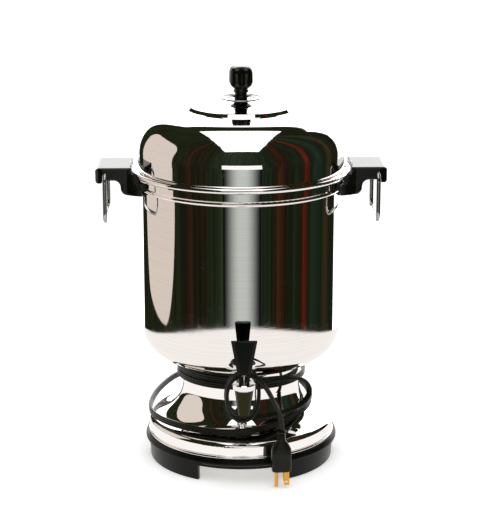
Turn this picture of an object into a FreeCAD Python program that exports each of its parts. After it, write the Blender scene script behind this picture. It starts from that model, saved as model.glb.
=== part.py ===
import FreeCAD, Part
import math
import os

# Coffee urn with a percolator inside, a lever tap in front and its cord wound round the base.
# Millimetres, +Z up. The drum's axis is modelled at x = y = 0 and the front faces -Y. At the end
# everything is moved back by axis_y, which puts the origin under the middle of the object's box.

# Drum
DRUM_R = 125.0            # outside of the drum wall
DRUM_SHEET = 1.0
DRUM_WALL_H = 179.0       # straight wall, from the bowl to the bead
BOWL_KNUCKLE_R = 42.0     # tight upper arc of the bowl
BOWL_KNUCKLE_DEG = 50.0
BOWL_LOWER_R = 78.0       # wide lower arc of the bowl
FLOOR_EDGE_R = 82.7
WELL_R = 27.5
WELL_DEPTH = 10.0
WELL_DRAFT = 1.5
BEAD_R = 129.2
BEAD_H = 6.0
BAND_STEP = 2.5           # the band above the bead stands out from the wall
BAND_H = 10.3
RIM_R = 136.0
RIM_T = 1.2

# Lid
LID_R = 128.5
LID_SHEET = 0.9
LID_WALL_H = 23.8
LID_SHOULDER_R = 50.0
LID_SLOPE_DEG = 12.0
LID_STEP_R = 66.0
LID_PLATEAU_R = 63.0
LID_PLATEAU_RISE = 3.9
LID_LIP_ROLL = 3.0
LID_LIP_R = 137.9
LID_SEAT_GAP = 0.1
LOCATING_DROP = 13.0      # locating ring below the rim
LOCATING_TOP = 9.0        # and above it, inside the lid wall
LOCATING_SHEET = 0.7
LOCATING_GAP = 0.3

# Knob
KNOB_FOOT_R = 13.0
KNOB_FOOT_TOP_R = 7.5
KNOB_FOOT_H = 7.6
SHIELD_R = 25.6
SHIELD_T = 0.8
SHIELD_DISH = 1.7
KNOB_COLLAR_R = 9.9
KNOB_COLLAR_H = 5.6
KNOB_NECK_R = 7.3
KNOB_NECK_H = 10.0
KNOB_RIDGE = 0.9
KNOB_LOBE_R = 7.4
KNOB_LOBE_OUT = 11.0      # lobe centre from the knob axis
KNOB_HEAD_H = 25.5
KNOB_CORE_R = 10.5
KNOB_SCREW_R = 2.5
KNOB_SCREW_HEAD_R = 6.0
KNOB_SCREW_HEAD_H = 2.6
SCREW_GAP = 0.1           # radial, screws in their holes

# Handles and bails
HANDLE_W = 66.0
HANDLE_REACH = 180.5      # drum axis to the outer end
HANDLE_TOP = 10.0         # above the top of the rim
HANDLE_ARM_T = 16.0
HANDLE_HOOK_DROP = 3.6
HANDLE_HOOK_T = 8.0
HANDLE_BLOCK_OUT = 24.0   # block's outer face from the drum wall
HANDLE_BLOCK_H = 38.0
HANDLE_CORNER_R = 10.0
HANDLE_EDGE_R = 2.5
HANDLE_GAP = 0.3          # to the drum, the bead and the rim
HANDLE_LID_GAP = 1.2
HANDLE_TAPER = 5.0
HANDLE_TAPER_L = 16.0
HANDLE_SCREW_R = 2.0
HANDLE_SCREW_HEAD_R = 4.0
HANDLE_SCREW_HEAD_H = 2.2
HANDLE_SCREW_L = 17.0
HANDLE_SCREW_SPREAD = 32.0
HANDLE_SCREW_DROP = 22.0  # below the top of the rim
BAIL_WIRE_R = 2.75
BAIL_FIT = 0.05           # radial, wire in its hole
BAIL_PIVOT_IN = 12.5      # from the handle's outer end
BAIL_PIVOT_DROP = 7.5     # from the handle's top
BAIL_HALF_W = 44.0
BAIL_DROP = 58.8
BAIL_TOP_BEND = 10.0
BAIL_LOW_BEND = 13.0

# Tap
TAP_REACH = 162.0         # drum axis to the tap's stem
SHANK_ABOVE_FLOOR = 5.5   # shank axis above the underside of the drum's floor
SHANK_R = 5.9
SHANK_BORE_R = 4.4
FERRULE_R = 7.4
FERRULE_BORE_R = 6.0
FERRULE_END = 118.0       # drum axis to the ferrule's end face
GASKET_T = 2.0
FLANGE_R = 9.4
FLANGE_T = 3.0
NUT_ACROSS = 24.0
NUT_LIP = 1.8
NUT_GAP = 0.15
NUT_LENGTH = 10.5
SPOUT_TOP_R = 11.2
SPOUT_TIP_R = 7.0
SPOUT_H = 32.0
SPOUT_LAND_H = 2.0
OUTLET_R = 5.2
SEAT_HOLE_R = 3.6
SEAT_T = 3.0
CHAMBER_R = 6.3
CHAMBER_H = 18.0
SEAT_CUP_R = 5.6
SEAT_CUP_H = 5.0
BONNET_R = 13.6
BONNET_H = 8.0
BONNET_EDGE = 1.2
STEM_R = 2.6
STEM_FIT = 0.08
PIN_RISE = 11.5           # lever pin above the bonnet
PIN_R = 1.5
PIN_FIT = 0.05
EYE_R = 3.6
SPRING_WIRE_R = 0.5
SPRING_R = 4.4
SPRING_TURNS = 4
LEVER_H = 40.5            # top above the pin
LEVER_FOOT_W = 16.0
LEVER_TOP_W = 31.0
LEVER_FOOT_HALF_D = 7.5
LEVER_TOP_FRONT = 6.5
LEVER_TOP_BACK = 2.0
LEVER_BEVEL = 3.2
LEVER_SLOT_GAP = 0.3
LEVER_LEG_T = 3.5
HEEL_GAP = 0.3

# Base
RING_H = 31.5
RING_LIP_R = 122.6
RING_LIP_T = 7.7
RING_SKIRT_R = 118.5
RING_TAPER = 1.5
RING_WALL = 4.5
RING_FLANGE_R = 100.0
RING_FLANGE_T = 4.5
RING_OPENING_H = 19.0
RING_OPENING_DEG = 57.0
RING_FEET = 3
SHELL_H = 95.0
SHELL_SHEET = 1.0
NECK_R = 74.0
NECK_H = 28.5
NECK_GASKET_T = 1.0
NECK_GASKET_W = 5.0
FLARE_R = 46.0
SHOULDER_R = 6.0
SHELL_R = 118.0
SHELL_BEAD = 1.0
SHELL_BEAD_H = 3.3
GROOVE_DEPTH = 0.6
GROOVE_H = 1.7

# Pilot lamp on the flare
LAMP_TUBE_R = 6.0
LAMP_JEWEL_R = 6.4
LAMP_BEZEL_R = 8.0
LAMP_BEZEL_T = 2.0
LAMP_JEWEL_PROUD = 4.0
LAMP_TUBE_L = 16.0
LAMP_FIT = 0.1
LAMP_FLARE_DEG = 205.0    # where on the flare's arc the lamp sits

# Inside the base
COVER_R = 112.0
COVER_T = 1.2
COVER_SCREW_R = 2.0
COVER_SCREW_HEAD_R = 4.0
COVER_SCREW_HEAD_H = 2.0
COVER_SCREW_L = 5.0
COVER_SCREW_PCR = 105.0
COVER_VENT_R = 3.0
COVER_VENT_PCR = 60.0
COVER_VENTS = 12
ROD_R = 3.0
ROD_PAST_NUT = 2.0
TIE_NUT_R = 6.5
TIE_NUT_H = 5.0
HEATER_IN_R = 31.0
HEATER_OUT_R = 60.0
HEATER_T = 10.0
THERMOSTAT_R = 11.0
THERMOSTAT_H = 11.0
TERMINAL_L = 40.0
TERMINAL_W = 18.0
TERMINAL_H = 14.0
TERMINAL_Y = 55.0
LEAD_R = 1.3
LEAD_SPREAD = 24.0

# Percolator and basket
PUMP_FOOT_R = 24.0
PUMP_FOOT_H = 4.0
PUMP_SKIRT_T = 1.0
PUMP_TUBE_R = 5.0
PUMP_TUBE_WALL = 0.6
PUMP_TUBE_TOP = 281.5     # above the inside of the well
TUBE_COLLAR_R = 9.0
TUBE_COLLAR_H = 8.0
BASKET_R = 88.0
BASKET_SHEET = 0.8
BASKET_H = 85.0
BASKET_RISE = 152.0       # basket floor above the drum's floor
TUBE_GAP = 0.3
BASKET_HOLE_R = 1.8
BASKET_HOLE_RINGS = 4
BASKET_HOLES_FIRST = 8
BASKET_HOLE_PITCH = 17.0
BASKET_COVER_R = 90.0
BASKET_COVER_SKIRT = 5.0
BASKET_COVER_DOME = 4.0
BASKET_COVER_GAP = 0.8

# Cord and plug
CORD_R = 3.5
RELIEF_L = 24.0
RELIEF_R = 5.8
RELIEF_NECK_R = 4.3
RELIEF_FLANGE_R = 6.5
RELIEF_INSIDE = 4.0
RELIEF_Z = 41.5
PLUG_YAW_DEG = 4.0
PLUG_W = 25.0
PLUG_T = 17.0
PLUG_H = 38.0
PLUG_NECK_H = 14.0
PLUG_NECK_R = 5.2
BLADE_L = 16.5
BLADE_W = 6.35
BLADE_T = 1.5
BLADE_GAP = 12.7          # between the two blades
BLADE_HOLE_R = 1.6
GROUND_PIN_R = 2.38
GROUND_PIN_L = 20.6
GROUND_PIN_OFF = 11.9     # from the line of the blades

Vec = FreeCAD.Vector
UP = Vec(0, 0, 1)

# Heights and radii that follow from the sizes above
shell_top = RING_H + SHELL_H
floor_z = shell_top + NECK_GASKET_T
well_z = floor_z - WELL_DEPTH
knuckle_x = DRUM_R - BOWL_KNUCKLE_R
bowl_cos = math.cos(math.radians(BOWL_KNUCKLE_DEG))
bowl_sin = math.sin(math.radians(BOWL_KNUCKLE_DEG))
lower_x = knuckle_x - (BOWL_LOWER_R - BOWL_KNUCKLE_R) * bowl_cos
lower_z = floor_z + math.sqrt(BOWL_LOWER_R ** 2 - (FLOOR_EDGE_R - lower_x) ** 2)
knuckle_z = lower_z - (BOWL_LOWER_R - BOWL_KNUCKLE_R) * bowl_sin
bead_z = knuckle_z + DRUM_WALL_H
band_r = DRUM_R + BAND_STEP
rim_z = bead_z + BEAD_H + BAND_H
rim_top = rim_z + RIM_T
lid_z = rim_top + LID_SEAT_GAP
lid_shoulder_z = lid_z + LID_WALL_H
lid_tan = math.tan(math.radians(LID_SLOPE_DEG))
lid_cos = math.cos(math.radians(LID_SLOPE_DEG))
shank_z = floor_z + SHANK_ABOVE_FLOOR
axis_y = (TAP_REACH + BONNET_R - LID_LIP_R) / 2


def outline(start, *steps):
    """Flat face in the x,z plane. A step of two numbers is a straight run to that point,
    one of four is an arc through its first pair to its second."""
    edges = []
    here = start
    for step in steps + (start,):
        end = tuple(step[-2:])
        a = Vec(here[0], 0, here[1])
        b = Vec(end[0], 0, end[1])
        if len(step) == 4:
            edges.append(Part.Arc(a, Vec(step[0], 0, step[1]), b).toShape())
        elif a.distanceToPoint(b) > 1e-6:
            edges.append(Part.LineSegment(a, b).toShape())
        here = end
    return Part.Face(Part.Wire(edges))


def turned(start, *steps):
    """Solid of revolution about Z of an outline in r,z."""
    return outline(start, *steps).revolve(Vec(0, 0, 0), UP, 360)


def on_circle(cx, cz, r, degrees):
    angle = math.radians(degrees)
    return cx + r * math.cos(angle), cz + r * math.sin(angle)


def rod(radius, start, end):
    return Part.makeCylinder(radius, (end - start).Length, start, end - start)


def pipe(outer, inner, start, end):
    return rod(outer, start, end).cut(rod(inner, start, end))


def block(x0, x1, y0, y1, z0, z1):
    return Part.makeBox(x1 - x0, y1 - y0, z1 - z0, Vec(x0, y0, z0))


def hexagon(across, start, end):
    """Hexagonal bar between two points on a line along Y or Z."""
    axis = (end - start).normalize()
    side = Vec(1, 0, 0)
    corner_r = across / math.sqrt(3)
    corners = []
    for i in range(7):
        turn = FreeCAD.Rotation(axis, 60 * i)
        corners.append(start + turn.multVec(side * corner_r))
    face = Part.Face(Part.makePolygon(corners))
    return face.extrude(end - start)


def around(shape, count, first_deg=0.0):
    """Copies of a shape spaced evenly about the drum's axis."""
    copies = []
    for i in range(count):
        copy = shape.copy()
        copy.rotate(Vec(0, 0, 0), UP, first_deg + 360.0 * i / count)
        copies.append(copy)
    return copies


def bent_path(points, bend=None):
    """Straight runs joined by tangent arcs. Without a bend radius each arc is as large as its
    two runs allow. Returns the wire and the arcs' radii."""
    edges = []
    radii = []
    here = points[0]
    for i in range(1, len(points) - 1):
        corner = points[i]
        back = points[i - 1] - corner
        ahead = points[i + 1] - corner
        half_turn = (math.pi - back.getAngle(ahead)) / 2
        shorter = min(back.Length, ahead.Length)
        radius = bend if bend else 0.45 * shorter / math.tan(half_turn)
        reach = radius * math.tan(half_turn)
        back.normalize()
        ahead.normalize()
        middle = (back + ahead).normalize()
        start = corner + back * reach
        end = corner + ahead * reach
        crown = corner + middle * (radius / math.cos(half_turn) - radius)
        if here.distanceToPoint(start) > 1e-4:
            edges.append(Part.LineSegment(here, start).toShape())
        edges.append(Part.Arc(start, crown, end).toShape())
        radii.append(radius)
        here = end
    edges.append(Part.LineSegment(here, points[-1]).toShape())
    return Part.Wire(edges), radii


def swept(points, radius, bend=None):
    path, radii = bent_path(points, bend)
    heading = points[1] - points[0]
    ring = Part.Wire(Part.makeCircle(radius, points[0], heading))
    return path.makePipeShell([ring], True, False), path, radii


def sheet_bowl(inset, top):
    """Outline steps of the drum's shape from the floor's edge up to height top, moved inwards."""
    knuckle = BOWL_KNUCKLE_R - inset
    lower = BOWL_LOWER_R - inset
    drop = lower_z - floor_z - inset
    edge_deg = -math.degrees(math.asin(drop / lower))
    turn_deg = -BOWL_KNUCKLE_DEG
    start = on_circle(lower_x, lower_z, lower, edge_deg)
    low_mid = on_circle(lower_x, lower_z, lower, (edge_deg + turn_deg) / 2)
    joint = on_circle(lower_x, lower_z, lower, turn_deg)
    high_mid = on_circle(knuckle_x, knuckle_z, knuckle, turn_deg / 2)
    return [start, low_mid + joint, high_mid + (DRUM_R - inset, knuckle_z), (DRUM_R - inset, top)]


def reverse_steps(steps):
    """The same outline steps walked the other way."""
    points = [tuple(step[-2:]) for step in steps]
    back = [points[-1]]
    for i in range(len(steps) - 1, 0, -1):
        back.append(tuple(steps[i][:2]) + points[i - 1] if len(steps[i]) == 4 else points[i - 1])
    return back


def drum_filled():
    outer = sheet_bowl(0.0, rim_top)
    return turned((0.0, floor_z), *outer, (0.0, rim_top))


def vessel():
    t = DRUM_SHEET
    outer = sheet_bowl(0.0, bead_z)
    inner = reverse_steps(sheet_bowl(t, bead_z + 1.0))
    band_in = band_r - t
    shell = turned(
        (0.0, well_z), (WELL_R - WELL_DRAFT, well_z), (WELL_R, floor_z), *outer,
        (BEAD_R, bead_z + BEAD_H / 2, band_r, bead_z + BEAD_H), (band_r, rim_z),
        (RIM_R, rim_z), (RIM_R, rim_top), (band_in, rim_top), (band_in, bead_z + 1.0 + BAND_STEP),
        *inner, (WELL_R - t, floor_z + t), (WELL_R - WELL_DRAFT - t, well_z + t), (0.0, well_z + t))
    tap_hole = rod(FERRULE_BORE_R - DRUM_SHEET, Vec(0, -DRUM_R, shank_z), Vec(0, -FLOOR_EDGE_R, shank_z))
    holes = [tap_hole]
    for side in (-1, 1):
        for y in (-HANDLE_SCREW_SPREAD / 2, HANDLE_SCREW_SPREAD / 2):
            z = rim_top - HANDLE_SCREW_DROP
            inside = Vec(side * (DRUM_R - 12 * t), y, z)
            holes.append(rod(HANDLE_SCREW_R + SCREW_GAP, inside, Vec(side * (DRUM_R + t), y, z)))
    return shell.cut(Part.makeCompound(holes))


def lid_steps(inset):
    """Lid's outer form, moved inwards: wall foot, wall top, shoulder, slope, step, plateau."""
    radius = LID_SHOULDER_R - inset
    cx = LID_R - LID_SHOULDER_R
    end = on_circle(cx, lid_shoulder_z, radius, 90 - LID_SLOPE_DEG)
    middle = on_circle(cx, lid_shoulder_z, radius, (90 - LID_SLOPE_DEG) / 2)
    step_z = end[1] + (end[0] - LID_STEP_R) * lid_tan
    top = step_z + LID_PLATEAU_RISE - inset * (1 - lid_cos)
    return [(LID_R - inset, lid_z), (LID_R - inset, lid_shoulder_z), middle + end,
            (LID_STEP_R - inset, step_z + inset * lid_tan), (LID_PLATEAU_R - inset, top)]


plateau_z = lid_steps(0.0)[-1][1]
plateau_under = plateau_z - LID_SHEET
lip_centre_r = LID_LIP_R - LID_LIP_ROLL


def lid():
    outer = lid_steps(0.0)
    inner = lid_steps(LID_SHEET)
    inner[-1] = (inner[-1][0], plateau_under)
    hole = KNOB_SCREW_R + SCREW_GAP
    sheet = turned(
        (lip_centre_r, lid_z), (lip_centre_r, lid_z + LID_SHEET), (LID_R, lid_z + LID_SHEET),
        *outer[1:], (hole, plateau_z), (hole, plateau_under), *reverse_steps(inner))
    roll = Part.makeTorus(lip_centre_r, LID_LIP_ROLL, Vec(0, 0, lid_z + LID_LIP_ROLL))
    return sheet.fuse(roll).removeSplitter()


def lid_locating_ring():
    inside = LID_R - LID_SHEET
    outer = band_r - DRUM_SHEET - LOCATING_GAP
    t = LOCATING_SHEET
    low = rim_top - LOCATING_DROP
    bend = lid_z + LID_SHEET
    return turned(
        (outer - t, low), (outer, low), (outer, bend), (inside, bend + 2.0),
        (inside, rim_top + LOCATING_TOP), (inside - t, rim_top + LOCATING_TOP),
        (inside - t, bend + 2.4), (outer - t, bend + 0.4))


def knob_foot():
    hole = KNOB_SCREW_R + SCREW_GAP
    z = plateau_z
    waist = ((KNOB_FOOT_R + KNOB_FOOT_TOP_R) / 2 - 1.6, z + KNOB_FOOT_H / 2)
    return turned((hole, z), (KNOB_FOOT_R, z), (KNOB_FOOT_R, z + 1.0),
                  waist + (KNOB_FOOT_TOP_R, z + KNOB_FOOT_H), (hole, z + KNOB_FOOT_H))


shield_z = plateau_z + KNOB_FOOT_H
knob_base_z = shield_z + SHIELD_T
knob_head_z = knob_base_z + KNOB_COLLAR_H + KNOB_NECK_H


def knob_heat_shield():
    hole = KNOB_SCREW_R + SCREW_GAP
    t = SHIELD_T
    flat = SHIELD_R * 0.8
    rim = SHIELD_R - t
    dish = turned((hole, shield_z), (flat, shield_z), (rim, shield_z + SHIELD_DISH),
                  (rim, shield_z + SHIELD_DISH + t), (flat, shield_z + t), (hole, shield_z + t))
    roll = Part.makeTorus(rim, t, Vec(0, 0, shield_z + SHIELD_DISH + t / 2))
    return dish.fuse(roll)


def knob():
    z = knob_base_z
    neck = z + KNOB_COLLAR_H
    ridge = KNOB_NECK_R + KNOB_RIDGE
    third = KNOB_NECK_H / 3
    body = turned(
        (0, z), (KNOB_COLLAR_R, z), (KNOB_COLLAR_R, neck - 1.5), (KNOB_NECK_R, neck),
        (ridge, neck + third / 2, KNOB_NECK_R, neck + third),
        (ridge, neck + 1.5 * third, KNOB_NECK_R, neck + 2 * third),
        (ridge, neck + 2.5 * third, KNOB_NECK_R, neck + 3 * third),
        (KNOB_CORE_R, knob_head_z + KNOB_HEAD_H / 2, KNOB_NECK_R - 1.0, knob_head_z + KNOB_HEAD_H - 1.0),
        (0, knob_head_z + KNOB_HEAD_H))
    lobes = []
    for i in range(4):
        x, y = on_circle(0, 0, KNOB_LOBE_OUT, 45 + 90 * i)
        low = Vec(x, y, knob_head_z + KNOB_LOBE_R)
        high = Vec(x, y, knob_head_z + KNOB_HEAD_H - 1.5 - KNOB_LOBE_R)
        lobes.append(rod(KNOB_LOBE_R, low, high))
        lobes.append(Part.makeSphere(KNOB_LOBE_R, low))
        lobes.append(Part.makeSphere(KNOB_LOBE_R, high))
    hole = rod(KNOB_SCREW_R + SCREW_GAP, Vec(0, 0, z), Vec(0, 0, z + KNOB_COLLAR_H + KNOB_NECK_H + 3.5))
    return body.multiFuse(lobes).cut(hole)


def knob_screw():
    head = rod(KNOB_SCREW_HEAD_R, Vec(0, 0, plateau_under - KNOB_SCREW_HEAD_H), Vec(0, 0, plateau_under))
    shaft = rod(KNOB_SCREW_R, Vec(0, 0, plateau_under), Vec(0, 0, knob_head_z + 3.0))
    return head.fuse(shaft)


handle_top_z = rim_top + HANDLE_TOP
bail_x = HANDLE_REACH - BAIL_PIVOT_IN
bail_z = handle_top_z - BAIL_PIVOT_DROP
handle_screw_z = rim_top - HANDLE_SCREW_DROP


def handle(side):
    """Black bracket: an arm over a block that hugs the drum, its outer end hooked down."""
    top = handle_top_z
    arm = top - HANDLE_ARM_T
    block_x = DRUM_R + HANDLE_BLOCK_OUT
    low = arm - HANDLE_BLOCK_H + HANDLE_ARM_T
    inside = DRUM_R - 8
    reach = HANDLE_REACH
    hook = reach - HANDLE_HOOK_T
    form = outline(
        (inside, low), (block_x - 9, low + 3.5), (block_x - 1.5, low + 7.5, block_x, low + 13),
        (block_x + 2.5, arm - 2.5, block_x + 9, arm), (hook - 2, arm),
        (hook, arm - HANDLE_HOOK_DROP), (reach - 4, arm - HANDLE_HOOK_DROP),
        (reach - 1.2, arm - HANDLE_HOOK_DROP + 1.2, reach, arm - HANDLE_HOOK_DROP + 4),
        (reach, top - 6), (reach - 1.8, top - 1.8, reach - 6, top), (inside, top))
    half = HANDLE_W / 2
    form.translate(Vec(0, -half, 0))
    prism = form.extrude(Vec(0, HANDLE_W, 0))
    rim_edges = [e for e in prism.Edges if abs(e.Vertexes[0].Y - e.Vertexes[-1].Y) < 1e-6]
    body = prism.makeFillet(HANDLE_EDGE_R, rim_edges)
    corner = HANDLE_CORNER_R
    diag = corner * (1 - math.sqrt(0.5))
    taper_x = DRUM_R + HANDLE_TAPER_L
    plan_points = [
        (inside, -half + HANDLE_TAPER), (DRUM_R, -half + HANDLE_TAPER), (taper_x, -half),
        (reach - corner, -half), (reach - diag, -half + diag, reach, -half + corner),
        (reach, half - corner), (reach - diag, half - diag, reach - corner, half),
        (taper_x, half), (DRUM_R, half - HANDLE_TAPER), (inside, half - HANDLE_TAPER)]
    plan = outline(*plan_points)
    plan.rotate(Vec(0, 0, 0), Vec(1, 0, 0), 90)
    plan.translate(Vec(0, 0, low - 5))
    body = body.common(plan.extrude(UP * (top - low + 10)))
    gap = HANDLE_GAP
    clear = Part.makeCompound([
        rod(DRUM_R + gap, Vec(0, 0, low - 5), Vec(0, 0, bead_z)),
        rod(BEAD_R + gap, Vec(0, 0, bead_z - gap), Vec(0, 0, rim_z)),
        rod(RIM_R + gap, Vec(0, 0, rim_z - gap), Vec(0, 0, rim_top)),
        rod(LID_LIP_R + HANDLE_LID_GAP, Vec(0, 0, rim_top), Vec(0, 0, top + 5))])
    body = body.cut(clear)
    pivot = rod(BAIL_WIRE_R + BAIL_FIT, Vec(bail_x, -half - 1, bail_z), Vec(bail_x, half + 1, bail_z))
    holes = [pivot]
    for y in (-HANDLE_SCREW_SPREAD / 2, HANDLE_SCREW_SPREAD / 2):
        start = Vec(inside, y, handle_screw_z)
        end = Vec(DRUM_R - 3 * DRUM_SHEET + HANDLE_SCREW_L + 1, y, handle_screw_z)
        holes.append(rod(HANDLE_SCREW_R + SCREW_GAP, start, end))
    body = body.cut(Part.makeCompound(holes))
    if side < 0:
        body.rotate(Vec(0, 0, 0), UP, 180)
    return body


def handle_screws():
    screws = []
    y_out = HANDLE_SCREW_SPREAD / 2 + HANDLE_SCREW_HEAD_R
    seat = math.sqrt((DRUM_R - DRUM_SHEET) ** 2 - y_out ** 2)
    for side in (-1, 1):
        for y in (-HANDLE_SCREW_SPREAD / 2, HANDLE_SCREW_SPREAD / 2):
            under = Vec(side * seat, y, handle_screw_z)
            head_top = Vec(side * (seat - HANDLE_SCREW_HEAD_H), y, handle_screw_z)
            tip = Vec(side * (seat + HANDLE_SCREW_L), y, handle_screw_z)
            screws.append(rod(HANDLE_SCREW_HEAD_R, head_top, under).fuse(rod(HANDLE_SCREW_R, under, tip)))
    return Part.makeCompound(screws)


def bail(side):
    """Closed rectangular loop of wire whose top run turns in the handle's hole."""
    x = side * bail_x
    w = BAIL_HALF_W
    middle = bail_z - BAIL_DROP / 2
    low = bail_z - BAIL_DROP
    halves = []
    for z, bend in ((bail_z, BAIL_TOP_BEND), (low, BAIL_LOW_BEND)):
        points = [Vec(x, -w, middle), Vec(x, -w, z), Vec(x, w, z), Vec(x, w, middle)]
        halves.append(swept(points, BAIL_WIRE_R, bend)[0])
    return halves[0].fuse(halves[1]).removeSplitter()


tap_y = -TAP_REACH
chamber_top_z = shank_z + SHANK_R + 0.1
spout_tip_z = chamber_top_z - SPOUT_H
seat_top_z = chamber_top_z - CHAMBER_H
seat_under_z = seat_top_z - SEAT_T
bonnet_top_z = chamber_top_z + BONNET_H
pin_z = bonnet_top_z + PIN_RISE
heel_z = bonnet_top_z + HEEL_GAP
flange_back = FERRULE_END + GASKET_T
nut_front = flange_back + FLANGE_T + NUT_LIP
nut_back = nut_front - NUT_LENGTH


def at_tap(shape):
    shape.translate(Vec(0, tap_y, 0))
    return shape


def tap_ferrule():
    start = Vec(0, -FLOOR_EDGE_R - 2, shank_z)
    return pipe(FERRULE_R, FERRULE_BORE_R, start, Vec(0, -FERRULE_END, shank_z)).cut(drum_filled())


def tap_gasket():
    start = Vec(0, -FERRULE_END, shank_z)
    return pipe(FLANGE_R - 1, SHANK_R + SCREW_GAP, start, Vec(0, -flange_back, shank_z))


def union_nut():
    back = Vec(0, -nut_back, shank_z)
    front = Vec(0, -nut_front, shank_z)
    cavity_front = Vec(0, -nut_front + NUT_LIP, shank_z)
    bar = hexagon(NUT_ACROSS, back, front)
    bar = bar.cut(rod(FERRULE_R + NUT_GAP, back, Vec(0, -FERRULE_END, shank_z)))
    bar = bar.cut(rod(FLANGE_R + NUT_GAP, Vec(0, -FERRULE_END, shank_z), cavity_front))
    return bar.cut(rod(SHANK_R + NUT_GAP, cavity_front, front))


def tap_body():
    tip = spout_tip_z
    cone = turned(
        (0, tip), (SPOUT_TIP_R, tip), (SPOUT_TOP_R, chamber_top_z - SPOUT_LAND_H),
        (SPOUT_TOP_R, chamber_top_z), (0, chamber_top_z))
    at_tap(cone)
    inner_end = Vec(0, -FERRULE_END + 12, shank_z)
    shank = rod(SHANK_R, inner_end, Vec(0, tap_y, shank_z))
    flange = rod(FLANGE_R, Vec(0, -flange_back, shank_z), Vec(0, -flange_back - FLANGE_T, shank_z))
    body = cone.multiFuse([shank, flange])
    hollows = [
        rod(OUTLET_R, Vec(0, tap_y, tip), Vec(0, tap_y, seat_under_z)),
        rod(SEAT_HOLE_R, Vec(0, tap_y, tip), Vec(0, tap_y, seat_top_z)),
        rod(CHAMBER_R, Vec(0, tap_y, seat_top_z), Vec(0, tap_y, chamber_top_z)),
        rod(SHANK_BORE_R, inner_end, Vec(0, tap_y, shank_z))]
    return body.cut(Part.makeCompound(hollows[:1]).fuse(hollows[1:]))


def tap_bonnet():
    z = chamber_top_z
    hole = STEM_R + STEM_FIT
    edge = BONNET_EDGE
    return at_tap(turned(
        (hole, z), (BONNET_R - edge, z), (BONNET_R, z + edge), (BONNET_R, z + BONNET_H - edge),
        (BONNET_R - edge, z + BONNET_H), (hole, z + BONNET_H)))


def seat_cup():
    start = Vec(0, tap_y, seat_top_z)
    cup = rod(SEAT_CUP_R, start, start + UP * SEAT_CUP_H)
    socket = rod(STEM_R, start + UP * (SEAT_CUP_H / 2), start + UP * SEAT_CUP_H)
    return cup.cut(socket)


def tap_stem():
    shaft = rod(STEM_R, Vec(0, tap_y, seat_top_z + SEAT_CUP_H / 2), Vec(0, tap_y, pin_z))
    eye = rod(EYE_R, Vec(-STEM_R, tap_y, pin_z), Vec(STEM_R, tap_y, pin_z))
    hole = rod(PIN_R + PIN_FIT, Vec(-2 * STEM_R, tap_y, pin_z), Vec(2 * STEM_R, tap_y, pin_z))
    return shaft.fuse(eye).cut(hole)


def tap_spring():
    """Coil between the rubber seat cup and the bonnet."""
    low = seat_top_z + SEAT_CUP_H + SPRING_WIRE_R
    height = chamber_top_z - low - SPRING_WIRE_R
    helix = Part.makeHelix(height / SPRING_TURNS, height, SPRING_R)
    ring = Part.Wire(Part.makeCircle(SPRING_WIRE_R, Vec(SPRING_R, 0, 0), Vec(0, 1, 0)))
    coil = Part.Wire(helix.Edges).makePipeShell([ring], True, True)
    coil.translate(Vec(0, tap_y, low))
    return coil


def lever_section(z, half_w, back, front, bevel):
    """Plan outline of the lever at one height: flat back, bevelled front."""
    points = [
        (-half_w, back), (half_w, back), (half_w, front + bevel), (half_w - 1.3 * bevel, front),
        (-half_w + 1.3 * bevel, front), (-half_w, front + bevel), (-half_w, back)]
    return Part.makePolygon([Vec(x, y, z) for x, y in points])


def tap_lever():
    """Wedge that widens upwards, with two legs whose heels roll on the bonnet."""
    half_d = LEVER_FOOT_HALF_D
    foot = lever_section(pin_z, LEVER_FOOT_W / 2, half_d, -half_d, LEVER_BEVEL)
    top = lever_section(
        pin_z + LEVER_H, LEVER_TOP_W / 2, LEVER_TOP_BACK, -LEVER_TOP_FRONT, LEVER_BEVEL)
    wedge = Part.makeLoft([foot, top], True, True)
    slot_half = STEM_R + LEVER_SLOT_GAP
    leg_out = slot_half + LEVER_LEG_T
    legs = [
        block(-leg_out, -slot_half, -half_d, half_d, heel_z, pin_z),
        block(slot_half, leg_out, -half_d, half_d, heel_z, pin_z)]
    body = wedge.multiFuse(legs)
    pocket = rod(EYE_R + LEVER_SLOT_GAP, Vec(-slot_half, 0, pin_z), Vec(slot_half, 0, pin_z))
    hole = rod(PIN_R, Vec(-LEVER_TOP_W, 0, pin_z), Vec(LEVER_TOP_W, 0, pin_z))
    slot = block(-slot_half, slot_half, -2 * half_d, 2 * half_d, heel_z - 1, pin_z)
    return at_tap(body.cut(Part.makeCompound([pocket]).fuse([slot, hole])))


def lever_pin():
    half = LEVER_FOOT_W / 2 - 0.4
    return rod(PIN_R, Vec(-half, tap_y, pin_z), Vec(half, tap_y, pin_z))


flare_x = NECK_R + FLARE_R
flare_z = shell_top - NECK_H


def shell_steps(inset):
    """Base shell from its neck down to the bottom edge, moved inwards."""
    flare = FLARE_R + inset
    shoulder = SHOULDER_R - inset
    shoulder_x = SHELL_R - SHOULDER_R
    across = flare_x - shoulder_x
    drop = math.sqrt((FLARE_R + SHOULDER_R) ** 2 - across ** 2)
    shoulder_z = flare_z - drop
    meet_deg = 180 + math.degrees(math.atan2(drop, across))
    meet = on_circle(flare_x, flare_z, flare, meet_deg)
    flare_mid = on_circle(flare_x, flare_z, flare, (180 + meet_deg) / 2)
    shoulder_mid = on_circle(shoulder_x, shoulder_z, shoulder, (meet_deg - 180) / 2)
    neck = (NECK_R - inset, shell_top)
    return [neck, (NECK_R - inset, flare_z), flare_mid + meet,
            shoulder_mid + (SHELL_R - inset, shoulder_z)]


def lamp_axis():
    """A point on the flare at the front and the outward normal there."""
    r, z = on_circle(flare_x, flare_z, FLARE_R, LAMP_FLARE_DEG)
    angle = math.radians(LAMP_FLARE_DEG)
    normal = Vec(0, -abs(math.cos(angle)), -math.sin(angle))
    return Vec(0, -r, z), normal


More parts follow.
